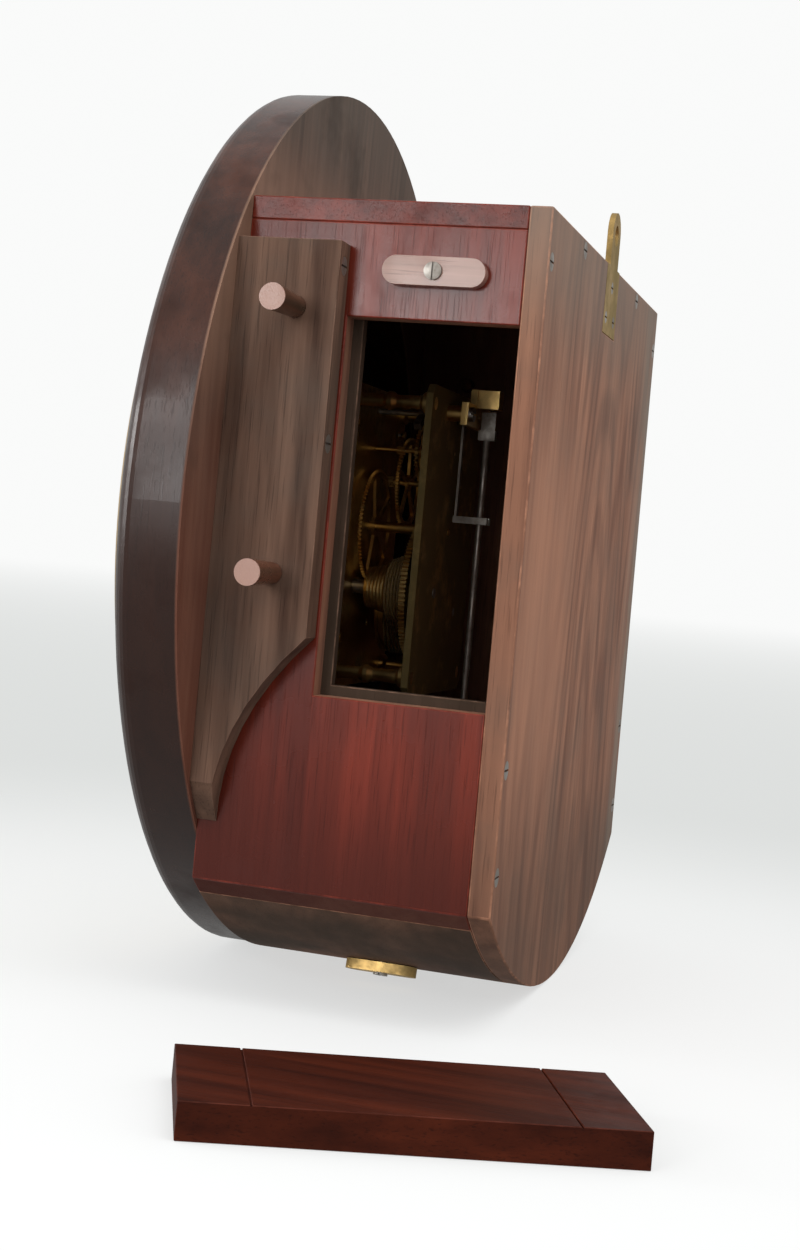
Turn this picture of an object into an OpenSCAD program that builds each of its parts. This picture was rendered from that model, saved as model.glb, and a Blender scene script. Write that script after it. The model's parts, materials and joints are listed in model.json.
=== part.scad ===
// Gallery clock: an English round dial wall clock with a pegged box behind it.
// Design frame: the dial's centre, Y = 0 on the back face of the surround, Y towards the wall, Z up.
// The finished part is moved so that its origin is the middle of the hanging hole, on the wall plane.

/* [Surround] */
// Diameter of the turned dial surround
surround_dia = 380; // [374:1:392]
// Depth of the surround's upright rim
rim_depth = 20; // [17:1:23]
// How far the turned moulding stands above the rim
moulding_rise = 10; // [9:1:13]
// Width of the turned moulding
moulding_w = 20; // [18:1:22]
// Width of the wood from the dial's edge to the rim
ring_w = 34; // [32:1:38]
// Width of the seat behind the dial's edge
seat_w = 21; // [15:1:30]
// Depth from the surround's back face to the seat of the dial
dial_seat = 20; // [18:1:21]

/* [Dial and bezel] */
// Thickness of the iron dial
dial_t = 1.5; // [1:0.1:2]
// Width of the dial's edge that the bezel hides
hidden_w = 6; // [5:0.5:8]
// Height of the brass bezel above the wood
bezel_h = 9; // [8.5:0.5:11]
// Thickness of the glass
glass_t = 1.8; // [1.4:0.1:2.2]
// Radius of the bezel hinge's knuckles
bezel_knuckle_r = 2.8; // [2.4:0.1:3.2]
// Gap between the minute hand's tip and the bezel
hand_clear = 14; // [10:1:24]
// How much shorter the hour hand is than the minute hand
hand_step = 40; // [32:1:50]
// Thickness of the hands
hand_t = 0.9; // [0.7:0.1:1.2]

/* [Box] */
// Width of the box across its sides
box_w = 288; // [280:1:292]
// Depth of the box and its back board from the surround to the wall
case_d = 118; // [112:1:126]
// Height of the box's top above the dial's centre
box_top = 122; // [116:1:126]
// Rise of the curved bottom from its middle to the sides
bottom_sag = 47; // [44:1:50]
// Thickness of the sides
side_t = 10; // [9:0.5:11]
// Thickness of the top, the curved bottom and the back board
board_t = 9; // [8:0.5:10]

/* [Side window and its door] */
// Distance from the surround to the window's front edge
window_front = 42; // [42:1:50]
// Height of the window's upper edge above the dial's centre
window_top = 77; // [70:1:80]
// Drop of the window's lower edge below the dial's centre
window_drop = 68; // [60:1:72]
// Thickness of the lift-out door
door_t = 12; // [10:0.5:13]
// Width of the cleats on the door's ends
cleat_w = 22; // [16:1:28]
// Distance of the laid-down door's middle to the right of the dial's centre
laid_door_x = 256; // [250:1:300]
// Distance of the laid-down door's middle behind the surround
laid_door_y = 118; // [80:1:160]
// Angle at which the door lies
laid_door_turn = 22; // [0:1:40]
// Length of the turn-button over the window
button_len = 40; // [32:1:44]
// Width of the turn-button over the window
button_w = 11; // [9:0.5:13]
// Thickness of the turn-button over the window
button_t = 5; // [4:0.5:7]

/* [Bottom door] */
// Width of the opening in the curved bottom
hatch_w = 120; // [100:1:130]
// Length of the bottom opening from front to back
hatch_l = 74; // [60:1:78]
// Distance from the surround to the bottom opening
hatch_front = 22; // [18:1:26]
// Radius of the bottom hinges' knuckles
hatch_knuckle_r = 2.2; // [2:0.1:2.4]
// Length of each bottom hinge
hatch_hinge_l = 18; // [14:1:20]
// Length of the bottom turn-button
hatch_button_len = 30; // [26:1:34]

/* [Cheeks and pegs] */
// Thickness of the cheeks
cheek_t = 12; // [10:0.5:13]
// Depth of the cheeks behind the surround
cheek_d = 41; // [36:1:41]
// Height of the cheeks' tops above the dial's centre
cheek_top = 104; // [98:1:105]
// Drop of the cheeks' lower ends below the dial's centre
cheek_drop = 120; // [112:1:121]
// Distance of the pegs behind the surround
peg_y = 25; // [22:1:28]
// Height of the upper pegs above the dial's centre
peg_up = 78; // [70:1:82]
// Drop of the lower pegs below the dial's centre
peg_down = 23; // [15:1:28]
// Length of a peg
peg_len = 56; // [48:1:62]
// Radius of a peg's outer end
peg_r = 5; // [4.5:0.1:5.5]

/* [Hanging plate] */
// Radius of the hanging hole
hang_hole_r = 4.5; // [4:0.5:5]
// Height of the hanging hole above the box's top
hang_rise = 14; // [13:1:18]
// Thickness of the hanging plate
hang_t = 2.5; // [2:0.1:3]
// Width of the hanging plate
hang_w = 32; // [30:1:40]

/* [Movement frame] */
// Width of the movement's plates
plate_w = 96; // [94:1:104]
// Height of the plates' top edge above the dial's centre
plate_top = 62; // [60:1:68]
// Drop of the plates' bottom edge below the dial's centre
plate_drop = 72; // [71:1:78]
// Thickness of the plates
plate_t = 3; // [2.5:0.1:3.5]
// Distance from the surround's back face to the front plate
plate_y = 14; // [13:0.5:16]
// Distance between the two plates
plate_gap = 34; // [34:0.5:38]
// Radius of the pillars at their ends
pillar_r = 4.5; // [4:0.1:5]

/* [Train] */
// Teeth of the great wheel
great_teeth = 96; // [96]
// Teeth of the centre wheel
centre_teeth = 84; // [84]
// Teeth of the third wheel
third_teeth = 82; // [82]
// Teeth of the escape wheel
escape_teeth = 30; // [30]
// Size of the great wheel's teeth as pitch diameter per tooth
great_mod = 0.62; // [0.58:0.01:0.63]
// Size of the centre wheel's teeth as pitch diameter per tooth
centre_mod = 0.6; // [0.57:0.01:0.62]
// Size of the third wheel's teeth as pitch diameter per tooth
third_mod = 0.5; // [0.48:0.01:0.52]
// Size of the motion work's teeth as pitch diameter per tooth
motion_mod = 0.6; // [0.56:0.01:0.62]
// Thickness of the train wheels
wheel_t = 1.3; // [1:0.1:1.6]
// Radius of the barrel's drum
barrel_r = 20; // [18:0.5:20.5]
// Radius of the fusee at its large end
fusee_big_r = 18.5; // [16:0.5:18.5]
// Radius of the fusee at its small end
fusee_small_r = 9; // [8:0.5:11]
// Turns of the fusee's groove
fusee_turns = 12; // [8:1:14]
// Radius of the gut line
gut_r = 0.55; // [0.4:0.05:0.6]

/* [Escapement and pendulum] */
// Radius of the escape wheel at its tips
escape_r = 12; // [11:0.5:12.5]
// Half of the pendulum's swing in degrees
swing = 4; // [2:0.5:5]
// Distance from the suspension's bend to the middle of the bob
pendulum_len = 181; // [170:1:184]
// Radius of the pendulum's bob
bob_r = 28; // [24:1:30]
// Thickness of the pendulum's bob
bob_t = 13; // [10:1:16]
// Distance of the pendulum behind the back plate
pendulum_back = 14; // [13:0.5:18]
// Radius of the pendulum rod
rod_r = 1.5; // [1.2:0.1:1.8]
// Length of the rod below the bob
rod_tail = 9; // [8:1:14]
// Space between the pendulum's lower end and the curved bottom
pendulum_room = 15; // [12:1:20]
// Radius of the rating nut
nut_r = 6; // [5:0.5:8]

/* [Fits] */
// Gap round a turning pivot, a pin or a shaft
run_gap = 0.05; // [0.03:0.01:0.08]
// Gap between neighbours that move past each other
move_gap = 0.3; // [0.3:0.05:0.5]
// Gap round a door or a dial in its opening
door_gap = 0.8; // [0.6:0.1:1.2]

/* [Hidden] */
$fn = 64;
mahogany = [0.42, 0.16, 0.10];
raw_wood = [0.50, 0.37, 0.27];
brass = [0.72, 0.58, 0.30];
steel = [0.55, 0.56, 0.58];
blue_steel = [0.10, 0.13, 0.28];

// Case
surround_r = surround_dia / 2;
dial_r = surround_r - ring_w;
opening_r = dial_r - seat_w;
sight_r = dial_r - hidden_w;
face_h = rim_depth + moulding_rise;
peak_r = surround_r - moulding_w;
half_w = box_w / 2;
inner_w = half_w - side_t;
box_d = case_d - board_t;
hang_z = box_top + hang_rise;
top_under = box_top - board_t;

// Screws: head radius, shank radius, head height and length
wood_screw = [3.6, 1.7, 2.2, 18];
small_screw = [2.6, 1.2, 1.6, 7];
cock_screw = [3.2, 1.5, 2];
peg_screw = [3.6, 1.7, 2.2];
dial_screw = [2.4, 1.2, 1.4, 12];
button_screw = [3.4, 1.6, 1.2];
slot_w = 0.8;
slot_d = 0.9;

// Window, its door and its button
window_h = window_top + window_drop;
window_w = box_d - window_front;
window_mid = window_front + window_w / 2;
stop_t = 5;
stop_w = 9;
stop_lap = 4;
button_z = (window_top + top_under) / 2;

// Pegs and cheeks
cheek_x = half_w + move_gap;
peg_taper = 0.028;
peg_inner = half_w - side_t - 6;
screw_heights = [cheek_top - 9, (peg_up - peg_down) / 2];
back_screw_x = half_w - side_t / 2;

// Bezel and its hinge
bezel_r = peak_r - 1;
bezel_axis_x = -(peak_r + 1.5);
bezel_axis_h = face_h + bezel_knuckle_r + 0.4;
bezel_pin_r = 1;
knuckle_l = 14;
hinge_leaf_w = 8;
hinge_leaf_t = 1.4;
glass_h = 4.8;
lip_h = 3;

// Movement planes, all measured from the surround's back face
front_in = plate_y + plate_t;
back_in = front_in + plate_gap;
back_out = back_in + plate_t;
dial_back = -dial_seat;
dial_front = -dial_seat - dial_t;
pendulum_y = back_out + pendulum_back;

// Arbors, as X and Z from the dial's centre
centre_leaves = 8;
third_leaves = 7;
escape_leaves = 7;
motion_teeth = 36;
motion_leaves = 6;
hour_teeth = 72;
function pitch(n, m) = n * m / 2;
function polar(r, a) = [r * cos(a), r * sin(a)];
fusee_a = -58.2;
fusee_c = polar(pitch(great_teeth + centre_leaves, great_mod), fusee_a);
third_a = 129.3;
third_c = polar(pitch(centre_teeth + third_leaves, centre_mod), third_a);
third_d = pitch(third_teeth + escape_leaves, third_mod);
escape_z = third_c[1] + sqrt(third_d * third_d - third_c[0] * third_c[0]);
escape_c = [0, escape_z];
escape_a = atan2(escape_z - third_c[1], -third_c[0]);
pallet_c = [0, escape_z + escape_r * sqrt(2)];
barrel_left = 24;
barrel_low = 8.6;
barrel_c = [-barrel_left, fusee_c[1] - barrel_low];
motion_d = pitch(2 * motion_teeth, motion_mod);
motion_c = polar(motion_d, 45);
hour_mod = 2 * motion_d / (hour_teeth + motion_leaves);

// The curved bottom, deep enough for the pendulum
pendulum_low = pendulum_len + bob_r + rod_tail - pallet_c[1];
side_drop = pendulum_low + pendulum_room + board_t - bottom_sag;
bottom_r = (half_w * half_w + bottom_sag * bottom_sag) / (2 * bottom_sag);
bottom_cz = bottom_r - side_drop - bottom_sag;
function bottom_z(x, r = bottom_r) = bottom_cz - sqrt(r * r - x * x);

// Bottom door
hatch_x = hatch_w / 2;
hinge_out = 1;
hatch_axis_z = bottom_z(hatch_x) - hinge_out;
hatch_tilt = asin(hatch_x / bottom_r);
hatch_leaf = 12;
leaf_t = 1;
hatch_pin_r = 0.9;
hatch_hinges = [hatch_front + hatch_l * 0.2, hatch_front + hatch_l * 0.8];
hatch_button_x = hatch_x + 8;
hatch_button_tilt = asin(hatch_button_x / bottom_r);
hatch_button_w = 9;
hatch_button_t = 4;
hatch_screw = [3, 1.4, 1];

back_screw_z = [window_top + 25, -window_drop - 20, 15 - side_drop];

// Pillars and dial feet, as X and Z
pillar_x = plate_w / 2 - 6;
pillar_c = [for (x = [-pillar_x, pillar_x]) for (z = [8 - plate_drop, plate_top - 8]) [x, z]];
foot_c = [for (x = [-pillar_x + 4, pillar_x - 4]) for (z = [22 - plate_drop, plate_top - 18]) [x, z]];

// Pivots
pivot_r = 0.8;
arbor_r = 1.3;
centre_r = 1.5;
fusee_pivot_r = 2.2;
barrel_arbor_r = 2.6;
cannon_r = 2.5;
pipe_r = 3.6;

// Wheel planes
centre_step = 2.5;
third_step = 11.5;
escape_step = 21;
great_step = 4.6;
fusee_step = 7.5;
barrel_step = 5.5;
flange_t = 1.2;
motion_step = 4;
great_y = back_in - great_step;
centre_y = front_in + centre_step;
third_y = front_in + third_step;
escape_y = front_in + escape_step;
barrel_y0 = front_in + barrel_step;
barrel_y1 = back_in - barrel_step - 0.5;
fusee_y0 = front_in + fusee_step;
fusee_y1 = great_y - move_gap;
motion_y = plate_y - motion_step;
hour_y = motion_y - motion_step;

// Hands at ten past ten, one degree short so that the minute hand is clear of the numeral
rest_minute = 54;
rest_hour = 304.5;
minute_hand_len = sight_r - hand_clear;
hour_hand_len = minute_hand_len - hand_step;
hand_gap = 3;
hand_apart = 2;
hour_hand_y = dial_front - hand_gap;
minute_hand_y = hour_hand_y - hand_t - hand_apart;
// Radius of the spade, radius of the boss and width of the arm
hour_shape = [9, 7.5, 4];
minute_shape = [6, 6, 3.4];

// Moves a piece from the dial's centre to the hanging hole
module placed() { translate([0, -case_d, -hang_z]) children(); }

// Extrudes a shape in X and Z from y0 to y1
module slab(y0, y1) { translate([0, y1, 0]) rotate([90, 0, 0]) linear_extrude(y1 - y0) children(); }

// Turns a profile of radius and height in front of the surround's back face
module front_lathe() { rotate([90, 0, 0]) rotate_extrude($fn = 160) children(); }

module at(c) { translate([c[0], 0, c[1]]) children(); }

module rod(y0, y1, r) { slab(y0, y1) circle(r); }

module box(lo, hi) { translate(lo) cube(hi - lo); }

// A slotted screw along Z, its head's top at the origin; grow widens it into its hole
module screw(s, grow = 0) {
    difference() {
        union() {
            translate([0, 0, -s[2] - grow]) cylinder(h = s[2] + grow, r = s[0] + grow);
            translate([0, 0, -s[3]]) cylinder(h = s[3], r = s[1] + grow);
        }
        if (grow == 0) translate([-2 * s[0], -slot_w / 2, -slot_d]) cube([4 * s[0], slot_w, 2 * slot_d]);
    }
}

// The box's outline: a rectangle whose bottom is curved
module box_outline(y0, y1) {
    intersection() {
        box([-half_w, y0, -side_drop - bottom_sag - 5], [half_w, y1, box_top]);
        union() {
            translate([0, 0, bottom_cz]) slab(y0, y1) circle(bottom_r, $fn = 160);
            box([-half_w, y0, 0], [half_w, y1, box_top]);
        }
    }
}

// Case pieces
module surround_profile() {
    polygon(concat(
        [[opening_r, 0], [surround_r, 0]],
        [for (a = [0:10:90]) [peak_r + moulding_w * cos(a), rim_depth + moulding_rise * sin(a)]],
        [[dial_r + door_gap, face_h], [dial_r + door_gap, dial_seat], [opening_r, dial_seat]]));
}

module cheek_screw_holes(grow) {
    for (x = [-1, 1]) for (z = screw_heights)
        translate([x * (cheek_x + cheek_t / 2), cheek_d, z]) rotate([-90, 0, 0])
            screw([each peg_screw, cheek_d + 0.4 * rim_depth], grow);
}

module dial_screw_set(grow) {
    for (a = [45:90:315]) rotate([0, a, 0])
        translate([0, dial_front - dial_screw[2], dial_r - seat_w / 4]) rotate([90, 0, 0])
            screw(dial_screw, grow);
}

module dial_surround() {
    color(mahogany) placed() difference() {
        front_lathe() surround_profile();
        cheek_screw_holes(run_gap);
        dial_screw_set(run_gap);
        box([bezel_axis_x - hinge_leaf_w - 1.5, -face_h - 1, -1.5 * knuckle_l],
            [bezel_axis_x + hinge_leaf_w / 2, -face_h + hinge_leaf_t + 0.4, 1.5 * knuckle_l]);
    }
}

// Outline of a cheek seen from the side, its lower end swept forward
module cheek_outline() {
    bend = 46;
    tip = 8;
    polygon(concat(
        [[0, -cheek_drop], [0, cheek_top], [cheek_d, cheek_top]],
        [for (t = [0:0.125:1]) [tip + (cheek_d - tip) * pow(1 - t, 2.2), -bend - (cheek_drop - bend) * t]]));
}

// What the cheeks' lower ends lose to the surround's round edge
module past_edge() {
    low = cheek_drop + 1;
    difference() {
        box([-surround_r, -1, -low], [surround_r, cheek_d + 1, -peg_down - 2 * peg_r]);
        rod(-2, cheek_d + 2, surround_r - 2, $fn = 160);
    }
}

module peg_shape(grow = 0) {
    inner_r = peg_r - peg_taper * peg_len;
    rotate([0, 90, 0]) cylinder(h = peg_len, r1 = inner_r + grow, r2 = peg_r + grow);
}

module peg_at(side, z, grow = 0) {
    mirror([side < 0 ? 1 : 0, 0, 0]) translate([peg_inner, peg_y, z]) peg_shape(grow);
}

module cheek(side) {
    color(raw_wood) placed() difference() {
        mirror([side < 0 ? 1 : 0, 0, 0]) translate([cheek_x, 0, 0])
            rotate([90, 0, 90]) linear_extrude(cheek_t) cheek_outline();
        past_edge();
        peg_at(side, peg_up, run_gap);
        peg_at(side, -peg_down, run_gap);
        cheek_screw_holes(run_gap);
    }
}

module cheek_right() { cheek(1); }
module cheek_left() { cheek(-1); }
module cheek_screws() { color(steel) placed() cheek_screw_holes(0); }

module back_screw_set(grow) {
    for (x = [-back_screw_x, back_screw_x]) for (z = back_screw_z)
        translate([x, case_d, z]) rotate([-90, 0, 0]) screw(wood_screw, grow);
    for (x = [-half_w / 2, half_w / 2])
        translate([x, case_d, box_top - board_t / 2]) rotate([-90, 0, 0]) screw(wood_screw, grow);
}

module side_board(side) {
    difference() {
        intersection() {
            box_outline(0, box_d);
            mirror([side < 0 ? 1 : 0, 0, 0])
                box([inner_w, 0, -side_drop - side_t], [half_w, box_d, top_under]);
        }
        peg_at(side, peg_up, run_gap);
        peg_at(side, -peg_down, run_gap);
        back_screw_set(run_gap);
    }
}

module box_side_right() {
    color(mahogany) placed() difference() {
        side_board(1);
        box([inner_w - 1, window_front, -window_drop], [half_w + 1, box_d + 1, window_top]);
        side_button_screw_at(run_gap);
    }
}

module box_side_left() { color(mahogany) placed() side_board(-1); }

module box_top() {
    color(mahogany) placed() difference() {
        box([-half_w, 0, top_under], [half_w, box_d, box_top]);
        back_screw_set(run_gap);
    }
}

module hatch_hinge_frame(y) {
    translate([-hatch_x, y, hatch_axis_z]) rotate([0, hatch_tilt, 0]) children();
}

// Space let into the wood for one bottom hinge
module hatch_hinge_room() {
    for (y = hatch_hinges) hatch_hinge_frame(y) {
        box([-hatch_leaf - 2, -hatch_hinge_l / 2 - 0.1, hinge_out - 0.2],
            [hatch_leaf + 2, hatch_hinge_l / 2 + 0.1, hinge_out + leaf_t - 0.2]);
        rod(-hatch_hinge_l / 2 - 0.1, hatch_hinge_l / 2 + 0.1, hatch_knuckle_r + move_gap);
    }
}

module curved_board() {
    intersection() {
        difference() {
            translate([0, 0, bottom_cz]) slab(0, box_d) circle(bottom_r, $fn = 160);
            translate([0, 0, bottom_cz]) slab(-1, box_d + 1) circle(bottom_r - board_t, $fn = 160);
        }
        box([-inner_w, 0, -side_drop - bottom_sag - 5], [inner_w, box_d, 0]);
    }
}

module box_bottom() {
    color(raw_wood) placed() difference() {
        curved_board();
        box([-hatch_x, hatch_front, -side_drop - bottom_sag - 5], [hatch_x, hatch_front + hatch_l, 0]);
        hatch_hinge_room();
        bottom_button_screw_at(run_gap);
    }
}

module back_board() {
    color(raw_wood) placed() difference() {
        box_outline(box_d, case_d);
        back_screw_set(run_gap);
        hanging_screw_set(run_gap);
        slab(case_d - hang_t, case_d + 1) hanging_outline();
    }
}

module back_screws() { color(steel) placed() back_screw_set(0); }

module hanging_outline() {
    foot = 30;
    translate([-hang_w / 2, box_top - foot]) square([hang_w, foot]);
    translate([-hang_hole_r - 5.5, box_top - 1]) square([2 * hang_hole_r + 11, hang_rise + 1]);
    translate([0, hang_z]) circle(hang_hole_r + 5.5);
}

module hanging_screw_set(grow) {
    for (p = [[-0.31, -23], [0.31, -23], [0, -9]])
        translate([p[0] * hang_w, case_d, box_top + p[1]]) rotate([-90, 0, 0]) screw(small_screw, grow);
}

module hanging_plate() {
    color(brass) placed() difference() {
        slab(case_d - hang_t, case_d) hanging_outline();
        translate([0, 0, hang_z]) rod(case_d - hang_t - 1, case_d + 1, hang_hole_r);
        hanging_screw_set(run_gap);
    }
}

module hanging_screws() { color(steel) placed() hanging_screw_set(0); }

// Fillets inside the window that stop the door
module door_stops() {
    color(raw_wood) placed() {
        box([inner_w - stop_t, window_front + stop_lap - stop_w, -window_drop - stop_w],
            [inner_w, window_front + stop_lap, window_top + stop_w]);
        box([inner_w - stop_t, window_front + stop_lap, -window_drop - stop_w + stop_lap],
            [inner_w, box_d, -window_drop + stop_lap]);
    }
}

// The lifted-out door lies on the surface that the clock stands on
module side_door() {
    len = window_h - door_gap;
    wid = window_w - door_gap;
    joint = 0.6;
    color(mahogany) placed() translate([laid_door_x, laid_door_y, -side_drop - bottom_sag])
        rotate([0, 0, laid_door_turn]) difference() {
            translate([-wid / 2, -len / 2, 0]) cube([wid, len, door_t]);
            for (s = [-1, 1]) translate([-wid, s * (len / 2 - cleat_w) - joint / 2, door_t - joint])
                cube([2 * wid, joint, 2 * joint]);
        }
}

module side_button_screw_at(grow) {
    translate([half_w + move_gap + button_t + button_screw[2], window_mid, button_z]) rotate([0, 90, 0])
        screw([each button_screw, button_t + side_t], grow);
}

module side_button() {
    color(mahogany) placed() difference() {
        translate([half_w + move_gap, window_mid, button_z]) rotate([90, 0, 90]) linear_extrude(button_t) {
            translate([-(button_len - button_w) / 2, -button_w / 2]) square([button_len - button_w, button_w]);
            for (s = [-1, 1]) translate([s * (button_len - button_w) / 2, 0]) circle(button_w / 2);
        }
        translate([half_w, window_mid, button_z]) rotate([0, 90, 0])
            cylinder(h = button_t + 2, r = button_screw[1] + run_gap);
    }
}

module side_button_screw() { color(steel) placed() side_button_screw_at(0); }

module bottom_door() {
    gap = door_gap;
    color(raw_wood) placed() difference() {
        intersection() {
            curved_board();
            box([gap - hatch_x, hatch_front + gap, -side_drop - bottom_sag - 5],
                [hatch_x - gap, hatch_front + hatch_l - gap, 0]);
        }
        hatch_hinge_room();
    }
}

// Leaves with knuckles: the outer thirds are fixed, the middle third moves
module bottom_hinge_fixed() {
    third = hatch_hinge_l / 3;
    color(brass) placed() for (y = hatch_hinges) hatch_hinge_frame(y) {
        for (s = [-1, 1]) translate([0, s * third, 0]) {
            rod(-third / 2 + 0.15, third / 2 - 0.15, hatch_knuckle_r);
            box([-hatch_leaf, -third / 2 + 0.15, hinge_out - 0.2],
                [0, third / 2 - 0.15, hinge_out + leaf_t - 0.2]);
        }
        box([-hatch_leaf, -hatch_hinge_l / 2 + 0.15, hinge_out - 0.2],
            [-hatch_knuckle_r - 0.6, hatch_hinge_l / 2 - 0.15, hinge_out + leaf_t - 0.2]);
        rod(-hatch_hinge_l / 2 + 0.15, hatch_hinge_l / 2 - 0.15, hatch_pin_r);
    }
}

module bottom_hinge_moving() {
    third = hatch_hinge_l / 3;
    color(brass) placed() for (y = hatch_hinges) hatch_hinge_frame(y) difference() {
        union() {
            rod(-third / 2 + 0.15, third / 2 - 0.15, hatch_knuckle_r);
            box([0, -third / 2 + 0.15, hinge_out - 0.2],
                [hatch_leaf, third / 2 - 0.15, hinge_out + leaf_t - 0.2]);
            box([hatch_knuckle_r + 0.6, -hatch_hinge_l / 2 + 0.15, hinge_out - 0.2],
                [hatch_leaf, hatch_hinge_l / 2 - 0.15, hinge_out + leaf_t - 0.2]);
        }
        rod(-third, third, hatch_pin_r + run_gap);
    }
}

module hatch_button_frame() {
    translate([hatch_button_x, hatch_front + hatch_l / 2, bottom_z(hatch_button_x)])
        rotate([0, 180 - hatch_button_tilt, 0]) children();
}

module bottom_button_screw_at(grow) {
    hatch_button_frame() translate([0, 0, move_gap + hatch_button_t + hatch_screw[2]])
        screw([each hatch_screw, hatch_button_t + board_t - 1], grow);
}

module bottom_button() {
    straight = hatch_button_len - hatch_button_w;
    color(brass) placed() hatch_button_frame() difference() {
        translate([0, 0, move_gap]) linear_extrude(hatch_button_t) {
            translate([-hatch_button_w / 2, -straight / 2]) square([hatch_button_w, straight]);
            for (s = [-1, 1]) translate([0, s * straight / 2]) circle(hatch_button_w / 2);
        }
        cylinder(h = hatch_button_t + 2, r = hatch_screw[1] + run_gap);
    }
}

module bottom_button_screw() { color(steel) placed() bottom_button_screw_at(0); }

module peg_upper_right() { color(mahogany) placed() peg_at(1, peg_up); }
module peg_lower_right() { color(mahogany) placed() peg_at(1, -peg_down); }
module peg_upper_left() { color(mahogany) placed() peg_at(-1, peg_up); }
module peg_lower_left() { color(mahogany) placed() peg_at(-1, -peg_down); }

// Dial, bezel and hands
module dial_plate() {
    color("ivory") placed() difference() {
        rod(dial_front, dial_back, dial_r, $fn = 160);
        rod(dial_front - 1, dial_back + 1, pipe_r + 1.4);
        at(fusee_c) rod(dial_front - 1, dial_back + 1, 5);
        dial_screw_set(run_gap);
    }
}

module dial_screws() { color(steel) placed() dial_screw_set(0); }

// Turned feet from the dial to the front plate, with a pinned stub behind it
module dial_feet() {
    color(brass) placed() for (c = foot_c) at(c) difference() {
        union() {
            rod(dial_back, dial_back + 2.5, 5);
            rod(dial_back, plate_y, 3);
            rod(plate_y - 3, plate_y, 4);
            rod(plate_y - 1, front_in + 3.2, 2);
        }
        translate([0, front_in + 1.4, 0]) rotate([0, 90, 0]) cylinder(h = 8, r = 0.7 + run_gap, center = true);
    }
}

module foot_pins() {
    color(steel) placed() for (c = foot_c) at(c)
        translate([0, front_in + 1.4, 0]) rotate([0, 90, 0]) cylinder(h = 9, r = 0.7, center = true);
}

module bezel_profile() {
    polygon(concat(
        [[bezel_r, face_h + move_gap], [bezel_r, face_h + 3]],
        [for (a = [10:20:90])
            [bezel_r - 3 - 9 * sin(a), face_h + bezel_h - (bezel_h - 4) * (1 - sin(a)) * cos(a)]],
        [[sight_r + 3, face_h + bezel_h], [sight_r, face_h + bezel_h - 2.5], [sight_r, face_h + glass_h],
         [sight_r + 2.5, face_h + glass_h], [sight_r + 2.5, face_h - lip_h], [sight_r + 4.6, face_h - lip_h],
         [sight_r + 4.6, face_h + move_gap]]));
}

module bezel_axis() { translate([bezel_axis_x, -bezel_axis_h, 0]) children(); }

module bezel_ring() {
    color(brass) placed() difference() {
        union() {
            front_lathe() bezel_profile();
            bezel_axis() translate([0, 0, -knuckle_l / 2 + 0.15])
                cylinder(h = knuckle_l - 0.3, r = bezel_knuckle_r);
            bezel_axis() box([0, -1, -knuckle_l / 2 + 0.15], [6, bezel_knuckle_r - 0.2, knuckle_l / 2 - 0.15]);
        }
        bezel_axis() cylinder(h = knuckle_l * 4, r = bezel_pin_r + run_gap, center = true);
        bezel_axis() for (s = [-1, 1]) translate([0, 0, s * knuckle_l])
            cylinder(h = knuckle_l + 0.3, r = bezel_knuckle_r + move_gap, center = true);
    }
}

module bezel_glass() {
    color([0.8, 0.9, 0.9, 0.35]) placed()
        rod(-face_h - glass_h, -face_h - glass_h + glass_t, sight_r + 2.5 - 0.2, $fn = 160);
}

module bezel_hinge() {
    color(brass) placed() bezel_axis() {
        for (s = [-1, 1]) translate([0, 0, s * knuckle_l]) {
            cylinder(h = knuckle_l - 0.3, r = bezel_knuckle_r, center = true);
            box([-hinge_leaf_w / 2, 0, -knuckle_l / 2 + 0.15],
                [0, bezel_knuckle_r + 0.6, knuckle_l / 2 - 0.15]);
        }
        box([-hinge_leaf_w, bezel_knuckle_r + move_gap + 0.1, -1.5 * knuckle_l + 0.15],
            [0, bezel_knuckle_r + 0.4 + hinge_leaf_t, 1.5 * knuckle_l - 0.15]);
        cylinder(h = 3 * knuckle_l - 0.3, r = bezel_pin_r, center = true);
    }
}

// A sprung stud in the dial's rebate that the bezel's lip snaps past
module bezel_catch() {
    inner = sight_r + 4.6 + move_gap;
    high = 8;
    outer = sqrt(pow(dial_r + door_gap, 2) - high * high);
    color(brass) placed() box([inner, 1 - face_h, -high], [outer, dial_front, high]);
}

// A spade hand pointing up, turned to its resting angle
module hand(len, y, angle, shape, hole_r) {
    spade_r = shape[0];
    boss_r = shape[1];
    width = shape[2];
    neck = len - 2.9 * spade_r;
    rotate([0, angle, 0]) slab(y - hand_t, y) difference() {
        union() {
            circle(boss_r);
            polygon([[-width * 0.7, 0], [width * 0.7, 0], [width / 2, neck], [-width / 2, neck]]);
            translate([0, len - 2.6 * spade_r]) difference() {
                union() {
                    for (s = [-1, 1]) translate([s * spade_r * 0.62, -spade_r * 0.25]) circle(spade_r * 0.62);
                    polygon([[-spade_r * 1.2, -spade_r * 0.05], [spade_r * 1.2, -spade_r * 0.05],
                        [0.5, spade_r * 2.6], [-0.5, spade_r * 2.6]]);
                }
                translate([0, -spade_r * 0.2]) circle(spade_r * 0.3);
            }
            translate([0, -boss_r - 1]) circle(width * 0.8);
        }
        circle(hole_r);
    }
}

module hour_hand() {
    color(blue_steel) placed() hand(hour_hand_len, hour_hand_y, rest_hour, hour_shape, pipe_r + run_gap);
}

module minute_hand() {
    color(blue_steel) placed()
        hand(minute_hand_len, minute_hand_y, rest_minute, minute_shape, cannon_r + run_gap);
}

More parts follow.
